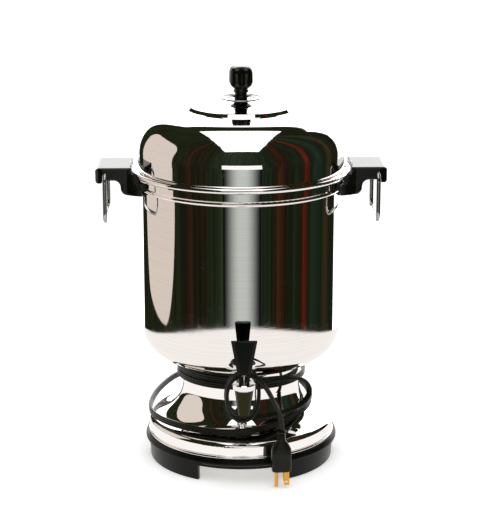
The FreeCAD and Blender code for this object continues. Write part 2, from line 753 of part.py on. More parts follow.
def base_shell():
    t = SHELL_SHEET
    bead = SHELL_R + SHELL_BEAD
    bead_top = RING_H + SHELL_BEAD_H
    groove = SHELL_R - GROOVE_DEPTH
    inner = shell_steps(t)
    shell = turned(
        *shell_steps(0.0), (SHELL_R, bead_top + GROOVE_H), (groove, bead_top + GROOVE_H / 2),
        (groove, bead_top), (bead, RING_H + SHELL_BEAD_H / 2, groove, RING_H),
        (SHELL_R - GROOVE_DEPTH - t, RING_H), (SHELL_R - GROOVE_DEPTH - t, bead_top + GROOVE_H),
        *reverse_steps(inner))
    foot, normal = lamp_axis()
    lamp_hole = rod(LAMP_TUBE_R + LAMP_FIT, foot - normal * 10, foot + normal * 10)
    gland = rod(RELIEF_NECK_R + 0.1, Vec(0, SHELL_R - 10, RELIEF_Z), Vec(0, SHELL_R + 10, RELIEF_Z))
    return shell.cut(Part.makeCompound([lamp_hole, gland]))


def neck_gasket():
    return pipe(NECK_R, NECK_R - NECK_GASKET_W, Vec(0, 0, shell_top), Vec(0, 0, floor_z))


def lamp_bezel():
    foot, normal = lamp_axis()
    lift = foot + normal * 1.0
    ring = pipe(LAMP_BEZEL_R, LAMP_TUBE_R - 1.0, lift, lift + normal * LAMP_BEZEL_T)
    tube = pipe(LAMP_TUBE_R, LAMP_TUBE_R - 1.0, lift - normal * LAMP_TUBE_L, lift)
    return ring.fuse(tube)


def lamp_lens():
    foot, normal = lamp_axis()
    seat = foot + normal * (1.0 + LAMP_BEZEL_T)
    stalk = rod(LAMP_TUBE_R - 1.0 - LAMP_FIT, seat - normal * 8, seat)
    height = LAMP_JEWEL_PROUD
    ball_r = (LAMP_JEWEL_R ** 2 + height ** 2) / (2 * height)
    ball = Part.makeSphere(ball_r, seat - normal * (ball_r - height))
    cap = ball.common(rod(LAMP_JEWEL_R + 1, seat, seat + normal * (height + 1)))
    return cap.fuse(stalk)


def lamp_nut():
    foot, normal = lamp_axis()
    near = foot - normal * (SHELL_SHEET + 1.0)
    return pipe(LAMP_BEZEL_R + 1, LAMP_TUBE_R + LAMP_FIT, near - normal * 3, near)


def base_ring():
    """Black moulded foot ring: a lip, a skirt cut into feet and an inner flange."""
    low_r = RING_SKIRT_R - RING_TAPER
    lip_low = RING_H - RING_LIP_T
    flange_z = RING_H - RING_FLANGE_T
    ring = turned(
        (low_r - RING_WALL, 0), (low_r, 0), (RING_SKIRT_R, lip_low), (RING_LIP_R - 1, lip_low),
        (RING_LIP_R, lip_low + 1), (RING_LIP_R, lip_low + 3), (RING_LIP_R - 2, RING_H),
        (RING_FLANGE_R, RING_H), (RING_FLANGE_R, flange_z), (low_r - RING_WALL, flange_z))
    cuts = []
    half = math.radians(RING_OPENING_DEG / 2)
    far = RING_LIP_R * 1.2
    wedge = Part.Face(Part.makePolygon([
        Vec(0, 0, 0), Vec(-far * math.sin(half), -far * math.cos(half), 0),
        Vec(far * math.sin(half), -far * math.cos(half), 0), Vec(0, 0, 0)]))
    opening = wedge.extrude(UP * RING_OPENING_H)
    cuts.extend(around(opening, RING_FEET))
    screw = rod(COVER_SCREW_R + SCREW_GAP, Vec(COVER_SCREW_PCR, 0, 0), Vec(COVER_SCREW_PCR, 0, flange_z + 4))
    cuts.extend(around(screw, RING_FEET, 30))
    return ring.cut(cuts[0].multiFuse(cuts[1:]))


cover_top_z = RING_H - RING_FLANGE_T


def bottom_cover():
    disc = rod(COVER_R, Vec(0, 0, cover_top_z - COVER_T), Vec(0, 0, cover_top_z))
    deep = Vec(0, 0, cover_top_z - 2 * COVER_T)
    holes = [rod(ROD_R + SCREW_GAP, deep, Vec(0, 0, cover_top_z + COVER_T))]
    vent_foot = deep + Vec(COVER_VENT_PCR, 0, 0)
    vent = rod(COVER_VENT_R, vent_foot, vent_foot + UP * 4 * COVER_T)
    holes.extend(around(vent, COVER_VENTS, 15))
    screw_foot = deep + Vec(COVER_SCREW_PCR, 0, 0)
    screw = rod(COVER_SCREW_R + SCREW_GAP, screw_foot, screw_foot + UP * 4 * COVER_T)
    holes.extend(around(screw, RING_FEET, 30))
    return disc.cut(Part.makeCompound(holes))


def cover_screws():
    under = Vec(COVER_SCREW_PCR, 0, cover_top_z - COVER_T)
    head = rod(COVER_SCREW_HEAD_R, under - UP * COVER_SCREW_HEAD_H, under)
    screw = head.fuse(rod(COVER_SCREW_R, under, under + UP * COVER_SCREW_L))
    return Part.makeCompound(around(screw, RING_FEET, 30))


def tie_rod():
    low = cover_top_z - COVER_T - TIE_NUT_H - ROD_PAST_NUT
    return rod(ROD_R, Vec(0, 0, low), Vec(0, 0, well_z))


def tie_nut():
    top = Vec(0, 0, cover_top_z - COVER_T)
    low = top - UP * TIE_NUT_H
    return hexagon(TIE_NUT_R * math.sqrt(3), low, top).cut(rod(ROD_R + SCREW_GAP, low, top))


heater_low_z = floor_z - HEATER_T


def heater_plate():
    return pipe(HEATER_OUT_R, HEATER_IN_R, Vec(0, 0, heater_low_z), Vec(0, 0, floor_z))


def thermostat():
    r = (HEATER_IN_R + HEATER_OUT_R) / 2
    top = Vec(-r, 0, heater_low_z)
    return rod(THERMOSTAT_R, top - UP * THERMOSTAT_H, top)


def terminal_block():
    half = TERMINAL_L / 2
    body = block(-half, half, TERMINAL_Y, TERMINAL_Y + TERMINAL_W, cover_top_z, cover_top_z + TERMINAL_H)
    slots = []
    for i in range(1, 4):
        x = -half + i * TERMINAL_L / 4
        slots.append(block(x - 0.8, x + 0.8, TERMINAL_Y - 1, TERMINAL_Y + TERMINAL_W + 1,
                           cover_top_z + TERMINAL_H - 4, cover_top_z + TERMINAL_H + 1))
    return body.cut(Part.makeCompound(slots))


def heater_leads():
    leads = []
    top_r = (HEATER_IN_R + HEATER_OUT_R) / 2
    low_z = cover_top_z + TERMINAL_H
    for side in (-1, 1):
        x = side * LEAD_SPREAD / 2
        y = TERMINAL_Y + TERMINAL_W / 2
        points = [
            Vec(x, y, low_z), Vec(x, y, low_z + 22), Vec(x * 1.3, y - 12, low_z + 44),
            Vec(x, top_r, heater_low_z - 16), Vec(x, top_r, heater_low_z)]
        leads.append(swept(points, LEAD_R)[0])
    return Part.makeCompound(leads)


well_inside_z = well_z + DRUM_SHEET
tube_top_z = well_inside_z + PUMP_TUBE_TOP
basket_z = floor_z + BASKET_RISE
basket_top_z = basket_z + BASKET_H


def pump_foot():
    z = well_inside_z
    r = PUMP_FOOT_R
    t = PUMP_SKIRT_T
    slot = block(r * 0.6, r * 1.2, -2, 2, z, z + 1.5)
    foot = turned(
        (r - t, z), (r, z), (r, z + PUMP_FOOT_H - 2), (PUMP_TUBE_R + 3, z + PUMP_FOOT_H + 6),
        (PUMP_TUBE_R, z + PUMP_FOOT_H + 6), (PUMP_TUBE_R, z + PUMP_FOOT_H + 4.5),
        (r - t, z + PUMP_FOOT_H - 3))
    return foot.cut(Part.makeCompound(around(slot, 4)))


def pump_tube():
    return pipe(PUMP_TUBE_R, PUMP_TUBE_R - PUMP_TUBE_WALL,
                Vec(0, 0, well_inside_z + PUMP_FOOT_H), Vec(0, 0, tube_top_z))


def tube_collar():
    return pipe(TUBE_COLLAR_R, PUMP_TUBE_R, Vec(0, 0, basket_z - TUBE_COLLAR_H), Vec(0, 0, basket_z))


def basket():
    z = basket_z
    t = BASKET_SHEET
    hub = PUMP_TUBE_R + TUBE_GAP
    shell = turned(
        (hub, z), (BASKET_R - 3, z), (BASKET_R - 0.9, z + 0.9, BASKET_R, z + 3),
        (BASKET_R, basket_top_z), (BASKET_R - t, basket_top_z), (BASKET_R - t, z + 3),
        (BASKET_R - 3, z + t), (hub, z + t))
    holes = []
    for ring in range(BASKET_HOLE_RINGS):
        r = PUMP_TUBE_R + (ring + 1) * BASKET_HOLE_PITCH
        one = rod(BASKET_HOLE_R, Vec(r, 0, z - 1), Vec(r, 0, z + 2 * t))
        holes.extend(around(one, BASKET_HOLES_FIRST * (ring + 1)))
    return shell.cut(Part.makeCompound(holes))


def basket_cover():
    t = BASKET_SHEET
    z = basket_top_z
    hub = PUMP_TUBE_R + TUBE_GAP
    skirt = BASKET_R - t - BASKET_COVER_GAP
    dome = BASKET_COVER_DOME
    plate = turned(
        (hub, z + dome), (skirt * 0.6, z + dome * 0.8), (skirt - t, z), (skirt - t, z - BASKET_COVER_SKIRT),
        (skirt, z - BASKET_COVER_SKIRT), (skirt, z), (BASKET_COVER_R, z), (BASKET_COVER_R, z + t),
        (skirt, z + t), (skirt * 0.6, z + dome * 0.8 + t), (hub, z + dome + t))
    holes = []
    for ring in range(2, BASKET_HOLE_RINGS):
        r = PUMP_TUBE_R + ring * BASKET_HOLE_PITCH
        one = rod(BASKET_HOLE_R, Vec(r, 0, z - 1), Vec(r, 0, z + 3 * dome))
        holes.extend(around(one, BASKET_HOLES_FIRST * ring, 10))
    return plate.cut(Part.makeCompound(holes))


relief_y = SHELL_R - SHELL_SHEET - RELIEF_INSIDE


def strain_relief():
    """Moulded sleeve through the back of the shell, tapering towards the cord."""
    seat = SHELL_R + 0.4
    end = seat + RELIEF_L
    neck = rod(RELIEF_NECK_R, Vec(0, relief_y, RELIEF_Z), Vec(0, seat, RELIEF_Z))
    collar = rod(RELIEF_FLANGE_R, Vec(0, seat, RELIEF_Z), Vec(0, seat + 2, RELIEF_Z))
    taper = Part.makeCone(RELIEF_R, CORD_R + 0.8, RELIEF_L - 2, Vec(0, seat + 2, RELIEF_Z), Vec(0, 1, 0))
    return neck.multiFuse([collar, taper])


cord_start_y = SHELL_R + 0.4 + RELIEF_L
plug_top = Vec(46.5, -130.0, 74.0)

# Cord: out of the back, once round the flare, up and twice round the neck, down in front, round
# the tap's shank twice, and down to the plug.
CORD_POINTS = [
    (0, cord_start_y, RELIEF_Z), (0, cord_start_y + 19, RELIEF_Z), (-13, cord_start_y + 34, 45),
    (-35, cord_start_y + 37, 51), (-59, 163, 57), (-86, 126, 60), (-106, 76, 60), (-117, 30, 58),
    (-117, -14, 58), (-100, -53, 60), (-70, -81, 60.5), (-34, -99, 60.5), (0, -105, 62.5), (34, -95, 66),
    (64, -72, 71.5), (83, -42, 74), (91, -6, 73.5), (84, 34, 80), (56, 66, 90), (18, 84, 98),
    (-24, 82, 104), (-59, 58, 108), (-80, 20, 110), (-80, -16, 111), (-65, -48, 112), (-39, -71, 113),
    (-4, -81, 113.5), (32, -75, 113), (61, -54, 112), (79, -22, 111), (81, 14, 111), (66, 48, 112.5),
    (38, 72, 115), (2, 81.5, 118), (-36, 73, 120.5), (-65, 49, 121), (-80, 14, 121), (-79, -22, 121),
    (-61, -54, 121.5), (-30, -76, 121.8), (6, -83, 121.8), (36, -80, 122), (60, -70, 122),
    (76, -61, 117.5), (85, -57, 105), (84, -59, 93), (75, -66, 85), (59, -77, 81), (40, -88, 79),
    (20, -97, 79), (2, -107, 84), (-12, -118, 94), (-20, -127, 109), (-21, -130, 125),
    (-17, -130.5, 140), (-6, -130.5, 149), (7, -130.5, 149.5), (17, -131, 141), (19, -132, 127),
    (18, -134, 111), (14, -136, 98), (4, -137.5, 90), (-8, -139, 91), (-17, -140, 101),
    (-20.5, -141, 115), (-20, -141, 131), (-14, -141, 144), (-2, -141, 151), (12, -141, 149),
    (24, -140, 138), (33, -138, 122), (40, -135, 106), (46.5, -130, 91), (plug_top.x, plug_top.y, plug_top.z)]


def power_cord():
    points = [Vec(*p) for p in CORD_POINTS]
    solid, path, radii = swept(points, CORD_R)
    section = math.pi * CORD_R ** 2
    print("cord length", round(path.Length, 1), "radii", [round(r, 1) for r in radii])
    print("cord volume over section times length", round(solid.Volume / (section * path.Length), 4))
    return solid


def at_plug(shape):
    shape.rotate(Vec(0, 0, 0), UP, PLUG_YAW_DEG)
    shape.translate(plug_top)
    return shape


plug_body_top = -PLUG_NECK_H
plug_body_low = -PLUG_NECK_H - PLUG_H


def plug_body():
    """Moulded grounded plug hanging below its ribbed neck."""
    neck = Part.makeCone(CORD_R + 0.7, PLUG_NECK_R, PLUG_NECK_H, Vec(0, 0, 0), Vec(0, 0, -1))
    shoulder = 0.45 * PLUG_H
    sections = []
    for z, half_w, half_t in ((plug_body_top, 6.5, 5.5), (plug_body_top - shoulder, PLUG_W / 2, PLUG_T / 2),
                              (plug_body_low, PLUG_W / 2 - 1, PLUG_T / 2 - 0.5)):
        corners = [(-half_w, -half_t), (half_w, -half_t), (half_w, half_t), (-half_w, half_t)]
        corners.append(corners[0])
        sections.append(Part.makePolygon([Vec(x, y, z) for x, y in corners]))
    body = Part.makeLoft(sections, True, True)
    sockets = [ground_pin_bar(-4.0)] + [blade_bar(y, -4.0) for y in (-BLADE_GAP / 2, BLADE_GAP / 2)]
    return at_plug(neck.fuse(body).cut(Part.makeCompound(sockets)))


def ground_pin_bar(start):
    low = plug_body_low - GROUND_PIN_L
    x = -GROUND_PIN_OFF / 2
    return rod(GROUND_PIN_R, Vec(x, 0, plug_body_low - start), Vec(x, 0, low))


def blade_bar(y, start):
    x = GROUND_PIN_OFF / 2
    return block(x - BLADE_W / 2, x + BLADE_W / 2, y - BLADE_T / 2, y + BLADE_T / 2,
                 plug_body_low - BLADE_L, plug_body_low - start)


def plug_prongs():
    prongs = [ground_pin_bar(-4.0)]
    for y in (-BLADE_GAP / 2, BLADE_GAP / 2):
        x = GROUND_PIN_OFF / 2
        z = plug_body_low - BLADE_L + 4
        hole = rod(BLADE_HOLE_R, Vec(x, y - 2, z), Vec(x, y + 2, z))
        prongs.append(blade_bar(y, -4.0).cut(hole))
    return at_plug(Part.makeCompound(prongs))


PIECES = {
    "vessel": vessel(),
    "tap_ferrule": tap_ferrule(),
    "handle_screws": handle_screws(),
    "left_handle": handle(-1),
    "right_handle": handle(1),
    "left_ring": bail(-1),
    "right_ring": bail(1),
    "lid": lid(),
    "lid_locating_ring": lid_locating_ring(),
    "knob_foot": knob_foot(),
    "knob_heat_shield": knob_heat_shield(),
    "knob": knob(),
    "knob_screw": knob_screw(),
    "tap_gasket": tap_gasket(),
    "union_nut": union_nut(),
    "tap_body": tap_body(),
    "tap_bonnet": tap_bonnet(),
    "seat_cup": seat_cup(),
    "tap_stem": tap_stem(),
    "tap_spring": tap_spring(),
    "tap_lever": tap_lever(),
    "lever_pin": lever_pin(),
    "base_shell": base_shell(),
    "neck_gasket": neck_gasket(),
    "pilot_lamp_bezel": lamp_bezel(),
    "pilot_lamp_lens": lamp_lens(),
    "lamp_nut": lamp_nut(),
    "base_ring": base_ring(),
    "bottom_cover": bottom_cover(),
    "cover_screws": cover_screws(),
    "tie_rod": tie_rod(),
    "tie_nut": tie_nut(),
    "heater_plate": heater_plate(),
    "thermostat": thermostat(),
    "terminal_block": terminal_block(),
    "heater_leads": heater_leads(),
    "pump_foot": pump_foot(),
    "pump_tube": pump_tube(),
    "tube_collar": tube_collar(),
    "basket": basket(),
    "basket_cover": basket_cover(),
    "strain_relief": strain_relief(),
    "power_cord": power_cord(),
    "plug_body": plug_body(),
    "plug_prongs": plug_prongs(),
}

os.makedirs("parts", exist_ok=True)
for name, shape in PIECES.items():
    shape.translate(Vec(0, axis_y, 0))
    shape.exportStep("parts/" + name + ".step")
    box = shape.BoundBox
    print(name, len(shape.Solids), shape.isValid(), "volume", round(shape.Volume),
          "x", round(box.XMin, 1), round(box.XMax, 1), "y", round(box.YMin, 1), round(box.YMax, 1),
          "z", round(box.ZMin, 1), round(box.ZMax, 1))
print("axis_y", axis_y)
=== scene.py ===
# %% [markdown]
# Coffee urn: looks for a polished steel percolator urn
# The construction comes packed from CAD and stays as it is. This notebook gives it a camera at
# the photograph's angle, its cord as a ribbed ribbon, finishes for every piece, and a small
# photographer's studio, because a mirror-like urn looks like whatever stands round it.

import math

import bpy
import numpy as np
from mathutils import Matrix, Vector


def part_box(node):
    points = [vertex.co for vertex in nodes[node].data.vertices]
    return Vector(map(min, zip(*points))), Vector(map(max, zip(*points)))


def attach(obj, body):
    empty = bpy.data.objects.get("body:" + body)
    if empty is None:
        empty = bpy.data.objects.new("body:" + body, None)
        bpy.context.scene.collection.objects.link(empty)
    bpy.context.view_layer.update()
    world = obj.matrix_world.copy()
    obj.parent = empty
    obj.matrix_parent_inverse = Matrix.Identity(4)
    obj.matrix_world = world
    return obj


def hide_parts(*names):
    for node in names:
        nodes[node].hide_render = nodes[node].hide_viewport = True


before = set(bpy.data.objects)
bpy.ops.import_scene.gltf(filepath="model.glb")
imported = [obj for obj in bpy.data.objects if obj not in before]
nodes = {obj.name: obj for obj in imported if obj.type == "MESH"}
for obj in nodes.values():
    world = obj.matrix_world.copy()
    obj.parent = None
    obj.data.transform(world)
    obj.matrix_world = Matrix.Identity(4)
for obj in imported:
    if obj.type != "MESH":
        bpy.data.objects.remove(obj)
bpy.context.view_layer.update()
MM = 0.001
lid_low, lid_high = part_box("lid")
AXIS_Y = (lid_low.y + lid_high.y) / 2
print("drum axis at y =", round(AXIS_Y, 5), "m;", len(nodes), "pieces from CAD")

# %% [markdown]
# The camera stood a little over two metres away, 15 degrees above the horizon and slightly left
# of centre. Its focal length is known in pixels, so the lens follows from the 36 mm sensor,
# whose width lies along the picture's longer side.

# %% Camera
IMAGE_LONG_SIDE_PX = 506
FOCAL_PX = 1741.0
DISTANCE = 2.2
ELEVATION = math.radians(14.9)
AZIMUTH = math.radians(-1.3)
AIM = Vector((0.0, AXIS_Y, 0.264))
CENTRE_SHIFT_PX = 1.0

lens = bpy.data.cameras.new("camera")
lens.sensor_width = 36.0
lens.lens = FOCAL_PX * lens.sensor_width / IMAGE_LONG_SIDE_PX
lens.shift_x = -CENTRE_SHIFT_PX / IMAGE_LONG_SIDE_PX
camera = bpy.data.objects.new("camera", lens)
bpy.context.scene.collection.objects.link(camera)
away = Vector((math.cos(ELEVATION) * math.sin(AZIMUTH), -math.cos(ELEVATION) * math.cos(AZIMUTH),
               math.sin(ELEVATION)))
camera.location = AIM + away * DISTANCE
camera.rotation_mode = "QUATERNION"
camera.rotation_quaternion = (-away).to_track_quat("-Z", "Y")
bpy.context.scene.camera = camera
print("lens", round(lens.lens, 1), "mm at", [round(v, 3) for v in camera.location])

# %% [markdown]
# Two helpers serve every new piece. A surface here is a grid of points worked out as whole
# arrays: one index runs along the piece, the other goes round it. The second helper turns a
# stretch of points into an evenly spaced one, so that patterns along it keep their real size.


# %% Helpers for surfaces
def grid_mesh(name, points):
    """Closed mesh of a tube-like grid, points[i, j] with j going round. Each quad joins ring i to
    ring i + 1, and each end is closed by a fan to the ring's mean point."""
    rings, around, _ = points.shape
    i, j = np.meshgrid(np.arange(rings - 1), np.arange(around), indexing="ij")
    k = (j + 1) % around
    quads = np.stack([i * around + j, i * around + k, (i + 1) * around + k, (i + 1) * around + j], -1)
    start_tip = rings * around
    verts = np.vstack([points.reshape(-1, 3), points[0].mean(0), points[-1].mean(0)])
    ring = np.arange(around)
    after = (ring + 1) % around
    last = (rings - 1) * around
    faces = quads.reshape(-1, 4).tolist()
    faces += np.stack([after, ring, np.full(around, start_tip)], -1).tolist()
    faces += np.stack([last + ring, last + after, np.full(around, start_tip + 1)], -1).tolist()
    mesh = bpy.data.meshes.new(name)
    mesh.from_pydata(verts.tolist(), [], faces)
    mesh.polygons.foreach_set("use_smooth", np.ones(len(faces), bool))
    mesh.update()
    obj = bpy.data.objects.new(name, mesh)
    bpy.context.scene.collection.objects.link(obj)
    return obj


def even_steps(points, step):
    """The same line with points a fixed step apart: each coordinate is interpolated over the
    length walked so far."""
    walked = np.concatenate([[0.0], np.cumsum(np.linalg.norm(np.diff(points, axis=0), axis=1))])
    count = int(round(walked[-1] / step)) + 1
    at = np.linspace(0.0, walked[-1], count)
    return np.stack([np.interp(at, walked, points[:, c]) for c in range(3)], -1), walked[-1]


# %% [markdown]
# The cord is a flat three-core ribbon, black and limp, stored on the urn: out of the back, once
# round the flared base, twice round the neck, down in front, twice round the tap's shank and
# down to a grounded plug. Its line is a NURBS curve drawn by listed points, which are the
# same as in the construction, in millimetres from the drum's axis.

# %% Cord route
CORD_EXIT = (0.0, 142.4, 41.5)
PLUG_TOP = (46.5, -130.0, 74.0)
CORD_STEP = 2.5 * MM
CORD_ROUTE = [
    CORD_EXIT, (0, 161.4, 41.5), (-13, 176.4, 45), (-35, 179.4, 51), (-59, 163, 57), (-86, 126, 60),
    (-106, 76, 60), (-117, 30, 58), (-117, -14, 58), (-100, -53, 60), (-70, -81, 60.5),
    (-34, -99, 60.5), (0, -105, 62.5), (34, -95, 66), (64, -72, 71.5), (83, -42, 74), (91, -6, 73.5),
    (84, 34, 80), (56, 66, 90), (18, 84, 98), (-24, 82, 104), (-59, 58, 108), (-80, 20, 110),
    (-80, -16, 111), (-65, -48, 112), (-39, -71, 113), (-4, -81, 113.5), (32, -75, 113),
    (61, -54, 112), (79, -22, 111), (81, 14, 111), (66, 48, 112.5), (38, 72, 115), (2, 81.5, 118),
    (-36, 73, 120.5), (-65, 49, 121), (-80, 14, 121), (-79, -22, 121), (-61, -54, 121.5),
    (-30, -76, 121.8), (6, -83, 121.8), (36, -80, 122), (60, -70, 122), (76, -61, 117.5),
    (85, -57, 105), (84, -59, 93), (75, -66, 85), (59, -77, 81), (40, -88, 79), (20, -97, 79),
    (2, -107, 84), (-12, -118, 94), (-20, -127, 109), (-21, -130, 125), (-17, -130.5, 140),
    (-6, -130.5, 149), (7, -130.5, 149.5), (17, -131, 141), (19, -132, 127), (18, -134, 111),
    (14, -136, 98), (4, -137.5, 90), (-8, -139, 91), (-17, -140, 101), (-20.5, -141, 115),
    (-20, -141, 131), (-14, -141, 144), (-2, -141, 151), (12, -141, 149), (24, -140, 138),
    (33, -138, 122), (40, -135, 106), (46.5, -130, 91), PLUG_TOP]


def to_frame(points_mm):
    """Urn millimetres, measured from the drum's axis, to the frame's metres."""
    return np.array(points_mm, float) * MM + np.array([0.0, AXIS_Y, 0.0])


route = to_frame(CORD_ROUTE)
curve = bpy.data.curves.new("cord_line", "CURVE")
curve.dimensions = "3D"
curve.resolution_u = 16
spline = curve.splines.new("NURBS")
spline.points.add(len(route) - 1)
spline.points.foreach_set("co", np.column_stack([route, np.ones(len(route))]).ravel())
spline.order_u = 3
spline.use_endpoint_u = True
line_object = bpy.data.objects.new("cord_line", curve)
line_mesh = bpy.data.meshes.new_from_object(line_object)
line = np.empty(len(line_mesh.vertices) * 3)
line_mesh.vertices.foreach_get("co", line)
cord_line, cord_length = even_steps(line.reshape(-1, 3), CORD_STEP)
bpy.data.objects.remove(line_object)
print("cord length", round(cord_length, 3), "m in", len(cord_line), "steps")

# %% [markdown]
# A ribbon bends easily only one way, about its wide side. So its wide side follows the line's
# binormal: upright round the neck, and along the shank where it is hitched over the tap. The
# binormal is smoothed over a few centimetres, which gives the slow twists of a real ribbon.

# %% Ribbon cord
RIBBON_W = 8.4 * MM
RIBBON_T = 4.2 * MM
RIBBON_CORES = 3
RIBBON_ROUND = 36
# a core's size beyond its share of the width, and the web between cores as a share of a core
CORE_OVERLAP = 1.06
WEB = 0.62
WEB_REACH = 0.9
# smoothing, in steps along the line, of the turning direction and of the ribbon's twist
TURN_SMOOTH = 3
TWIST_SMOOTH = 9
LEAST_TURN = 1e-4
UPRIGHT_PULL = 0.004
SIDE_FOLLOW = 0.1


def smoothed(values, width):
    """Running Gaussian mean along the first axis, with the ends held."""
    reach = 3 * width
    kernel = np.exp(-0.5 * (np.arange(-reach, reach + 1) / width) ** 2)
    kernel /= kernel.sum()
    padded = np.pad(values, ((reach, reach), (0, 0)), mode="edge")
    return np.stack([np.convolve(padded[:, c], kernel, "valid") for c in range(values.shape[1])], -1)


def ribbon_frames(points):
    """Unit tangents, widths and thicknesses along a line. The width is the smoothed tangent
    crossed with the turning direction, kept on one side and squared up to the tangent."""
    tangent = np.gradient(points, axis=0)
    tangent /= np.linalg.norm(tangent, axis=1, keepdims=True)
    turning = smoothed(np.gradient(tangent, axis=0), TURN_SMOOTH)
    width = np.cross(tangent, turning)
    upright = np.array([0.0, 0.0, 1.0])
    side = upright
    for n in range(len(width)):
        if np.dot(width[n], side) < 0:
            width[n] = -width[n]
        if np.linalg.norm(width[n]) > LEAST_TURN:
            side = (1 - SIDE_FOLLOW) * side + SIDE_FOLLOW * width[n] / np.linalg.norm(width[n])
    width = smoothed(width + UPRIGHT_PULL * upright, TWIST_SMOOTH)
    width -= tangent * np.sum(width * tangent, axis=1, keepdims=True)
    width /= np.linalg.norm(width, axis=1, keepdims=True)
    return tangent, width, np.cross(tangent, width)


def ribbon_section(count):
    """Outline of three cores side by side, as (along width, along thickness): the half height
    at each place is that of the nearest round core, but never less than the web between them."""
    angle = np.linspace(0, 2 * np.pi, count, endpoint=False)
    across = np.cos(angle) * RIBBON_W / 2
    pitch = RIBBON_W / RIBBON_CORES
    nearest = (np.abs(across) > pitch / 2) * np.sign(across) * pitch
    core = np.sqrt(np.clip(1 - ((across - nearest) / (pitch / 2 * CORE_OVERLAP)) ** 2, 0, 1))
    half = RIBBON_T / 2 * np.maximum(core, WEB * (np.abs(across) < RIBBON_W / 2 * WEB_REACH))
    return across, half * np.sign(np.sin(angle) + 1e-12)


tangent, width, thickness = ribbon_frames(cord_line)
across, height = ribbon_section(RIBBON_ROUND)
ribbon_points = (cord_line[:, None, :] + width[:, None, :] * across[None, :, None]
                 + thickness[:, None, :] * height[None, :, None])
ribbon = grid_mesh("cord_ribbon", ribbon_points)
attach(ribbon, "root")
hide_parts("power_cord")
print("ribbon of", len(ribbon.data.polygons), "faces")

# %% [markdown]
# The plug is moulded rubber: a ribbed neck that flexes, then a body with rounded shoulders that
# is waisted for the fingers. It is a stack of superellipses, whose half sizes are interpolated
# down the plug, so one formula gives both the round neck and the squarish body.

# %% Plug
PLUG_YAW = math.radians(4.0)
PLUG_STATIONS = np.array([
    # depth, half width, half thickness, squareness
    (0.0, 4.6, 4.6, 2.0), (0.6, 5.9, 5.9, 2.0), (2.2, 5.9, 5.9, 2.0), (2.8, 5.2, 5.2, 2.0),
    (11.5, 5.6, 5.4, 2.0), (12.5, 5.4, 5.0, 2.1), (14.0, 6.6, 5.6, 2.3), (18.0, 9.2, 6.6, 2.6),
    (23.0, 11.8, 7.6, 3.0), (28.0, 12.4, 8.2, 3.4), (36.0, 12.2, 8.2, 4.0), (46.0, 12.3, 8.3, 4.6),
    (50.8, 12.0, 8.2, 4.6), (51.9, 11.2, 7.4, 4.0)])
RIBS_FROM, RIBS_TO = 2.8, 11.5
NECK_RIBS = 3
NECK_RIB_DEPTH = 1.1
GRIP_FROM, GRIP_TO = 29.0, 47.0
GRIP_RIDGES = 7
GRIP_DEPTH = 0.5


def ridges(depth, start, end, count, height):
    """Grooves as deep as height * (1 - cos(2 pi count t)) / 2, with t going 0 to 1 over the stretch."""
    t = np.clip((depth - start) / (end - start), 0, 1)
    return height * (0.5 - 0.5 * np.cos(2 * np.pi * count * t))


def plug_surface(rings=240, around=64):
    """Stack of superellipses |x/a|^n + |y/b|^n = 1 with a, b and n interpolated over depth, less
    cosine grooves round the neck and across the two gripping edges."""
    depth = np.linspace(PLUG_STATIONS[0, 0], PLUG_STATIONS[-1, 0], rings)
    half_w, half_t, power = (np.interp(depth, PLUG_STATIONS[:, 0], PLUG_STATIONS[:, c])[:, None]
                             for c in (1, 2, 3))
    ripple = ridges(depth, RIBS_FROM, RIBS_TO, NECK_RIBS, NECK_RIB_DEPTH)[:, None]
    grip = ridges(depth, GRIP_FROM, GRIP_TO, GRIP_RIDGES, GRIP_DEPTH)[:, None]
    angle = np.linspace(0, 2 * np.pi, around, endpoint=False)[None, :]
    c, s = np.cos(angle), np.sin(angle)
    reach = (np.abs(c) ** power + np.abs(s) ** power) ** (-1 / power)
    x = (half_w - ripple - grip * np.abs(c) ** 4) * reach * c
    y = (half_t - ripple) * reach * s
    z = np.broadcast_to(-depth[:, None], x.shape)
    turned_x = x * math.cos(PLUG_YAW) - y * math.sin(PLUG_YAW)
    turned_y = x * math.sin(PLUG_YAW) + y * math.cos(PLUG_YAW)
    return to_frame(np.stack([turned_x, turned_y, z], -1) + np.array(PLUG_TOP))


plug = grid_mesh("plug_moulding", plug_surface()[::-1])
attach(plug, "root")
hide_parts("plug_body")
print("plug of", len(plug.data.polygons), "faces")

# %% [markdown]
# The knob is a fluted black moulding: a bulb with four lobes for the fingers, which narrows to a
# ridged neck. Its radius is a profile over the height times a ripple round the axis.

# %% Knob
KNOB_PROFILE = np.array([
    # height up the knob, radius, how deep the valleys between the lobes are (all 0 to 1)
    (0.0, 0.48, 0.0), (0.05, 0.48, 0.0), (0.07, 0.60, 0.0), (0.13, 0.60, 0.0), (0.15, 0.45, 0.0),
    (0.20, 0.45, 0.0), (0.22, 0.55, 0.0), (0.27, 0.55, 0.0), (0.30, 0.50, 0.04), (0.34, 0.62, 0.12),
    (0.42, 0.88, 0.24), (0.52, 1.0, 0.30), (0.66, 1.0, 0.33), (0.80, 0.99, 0.34), (0.90, 0.93, 0.34),
    (0.96, 0.78, 0.32), (0.99, 0.55, 0.25), (1.0, 0.12, 0.0)])
KNOB_LOBES = 4
KNOB_TURN = math.radians(49.0)
KNOB_FULLER = 1.1
LOBE_FULLNESS = 0.8
RADIUS_SMOOTH, DEPTH_SMOOTH = 1, 2


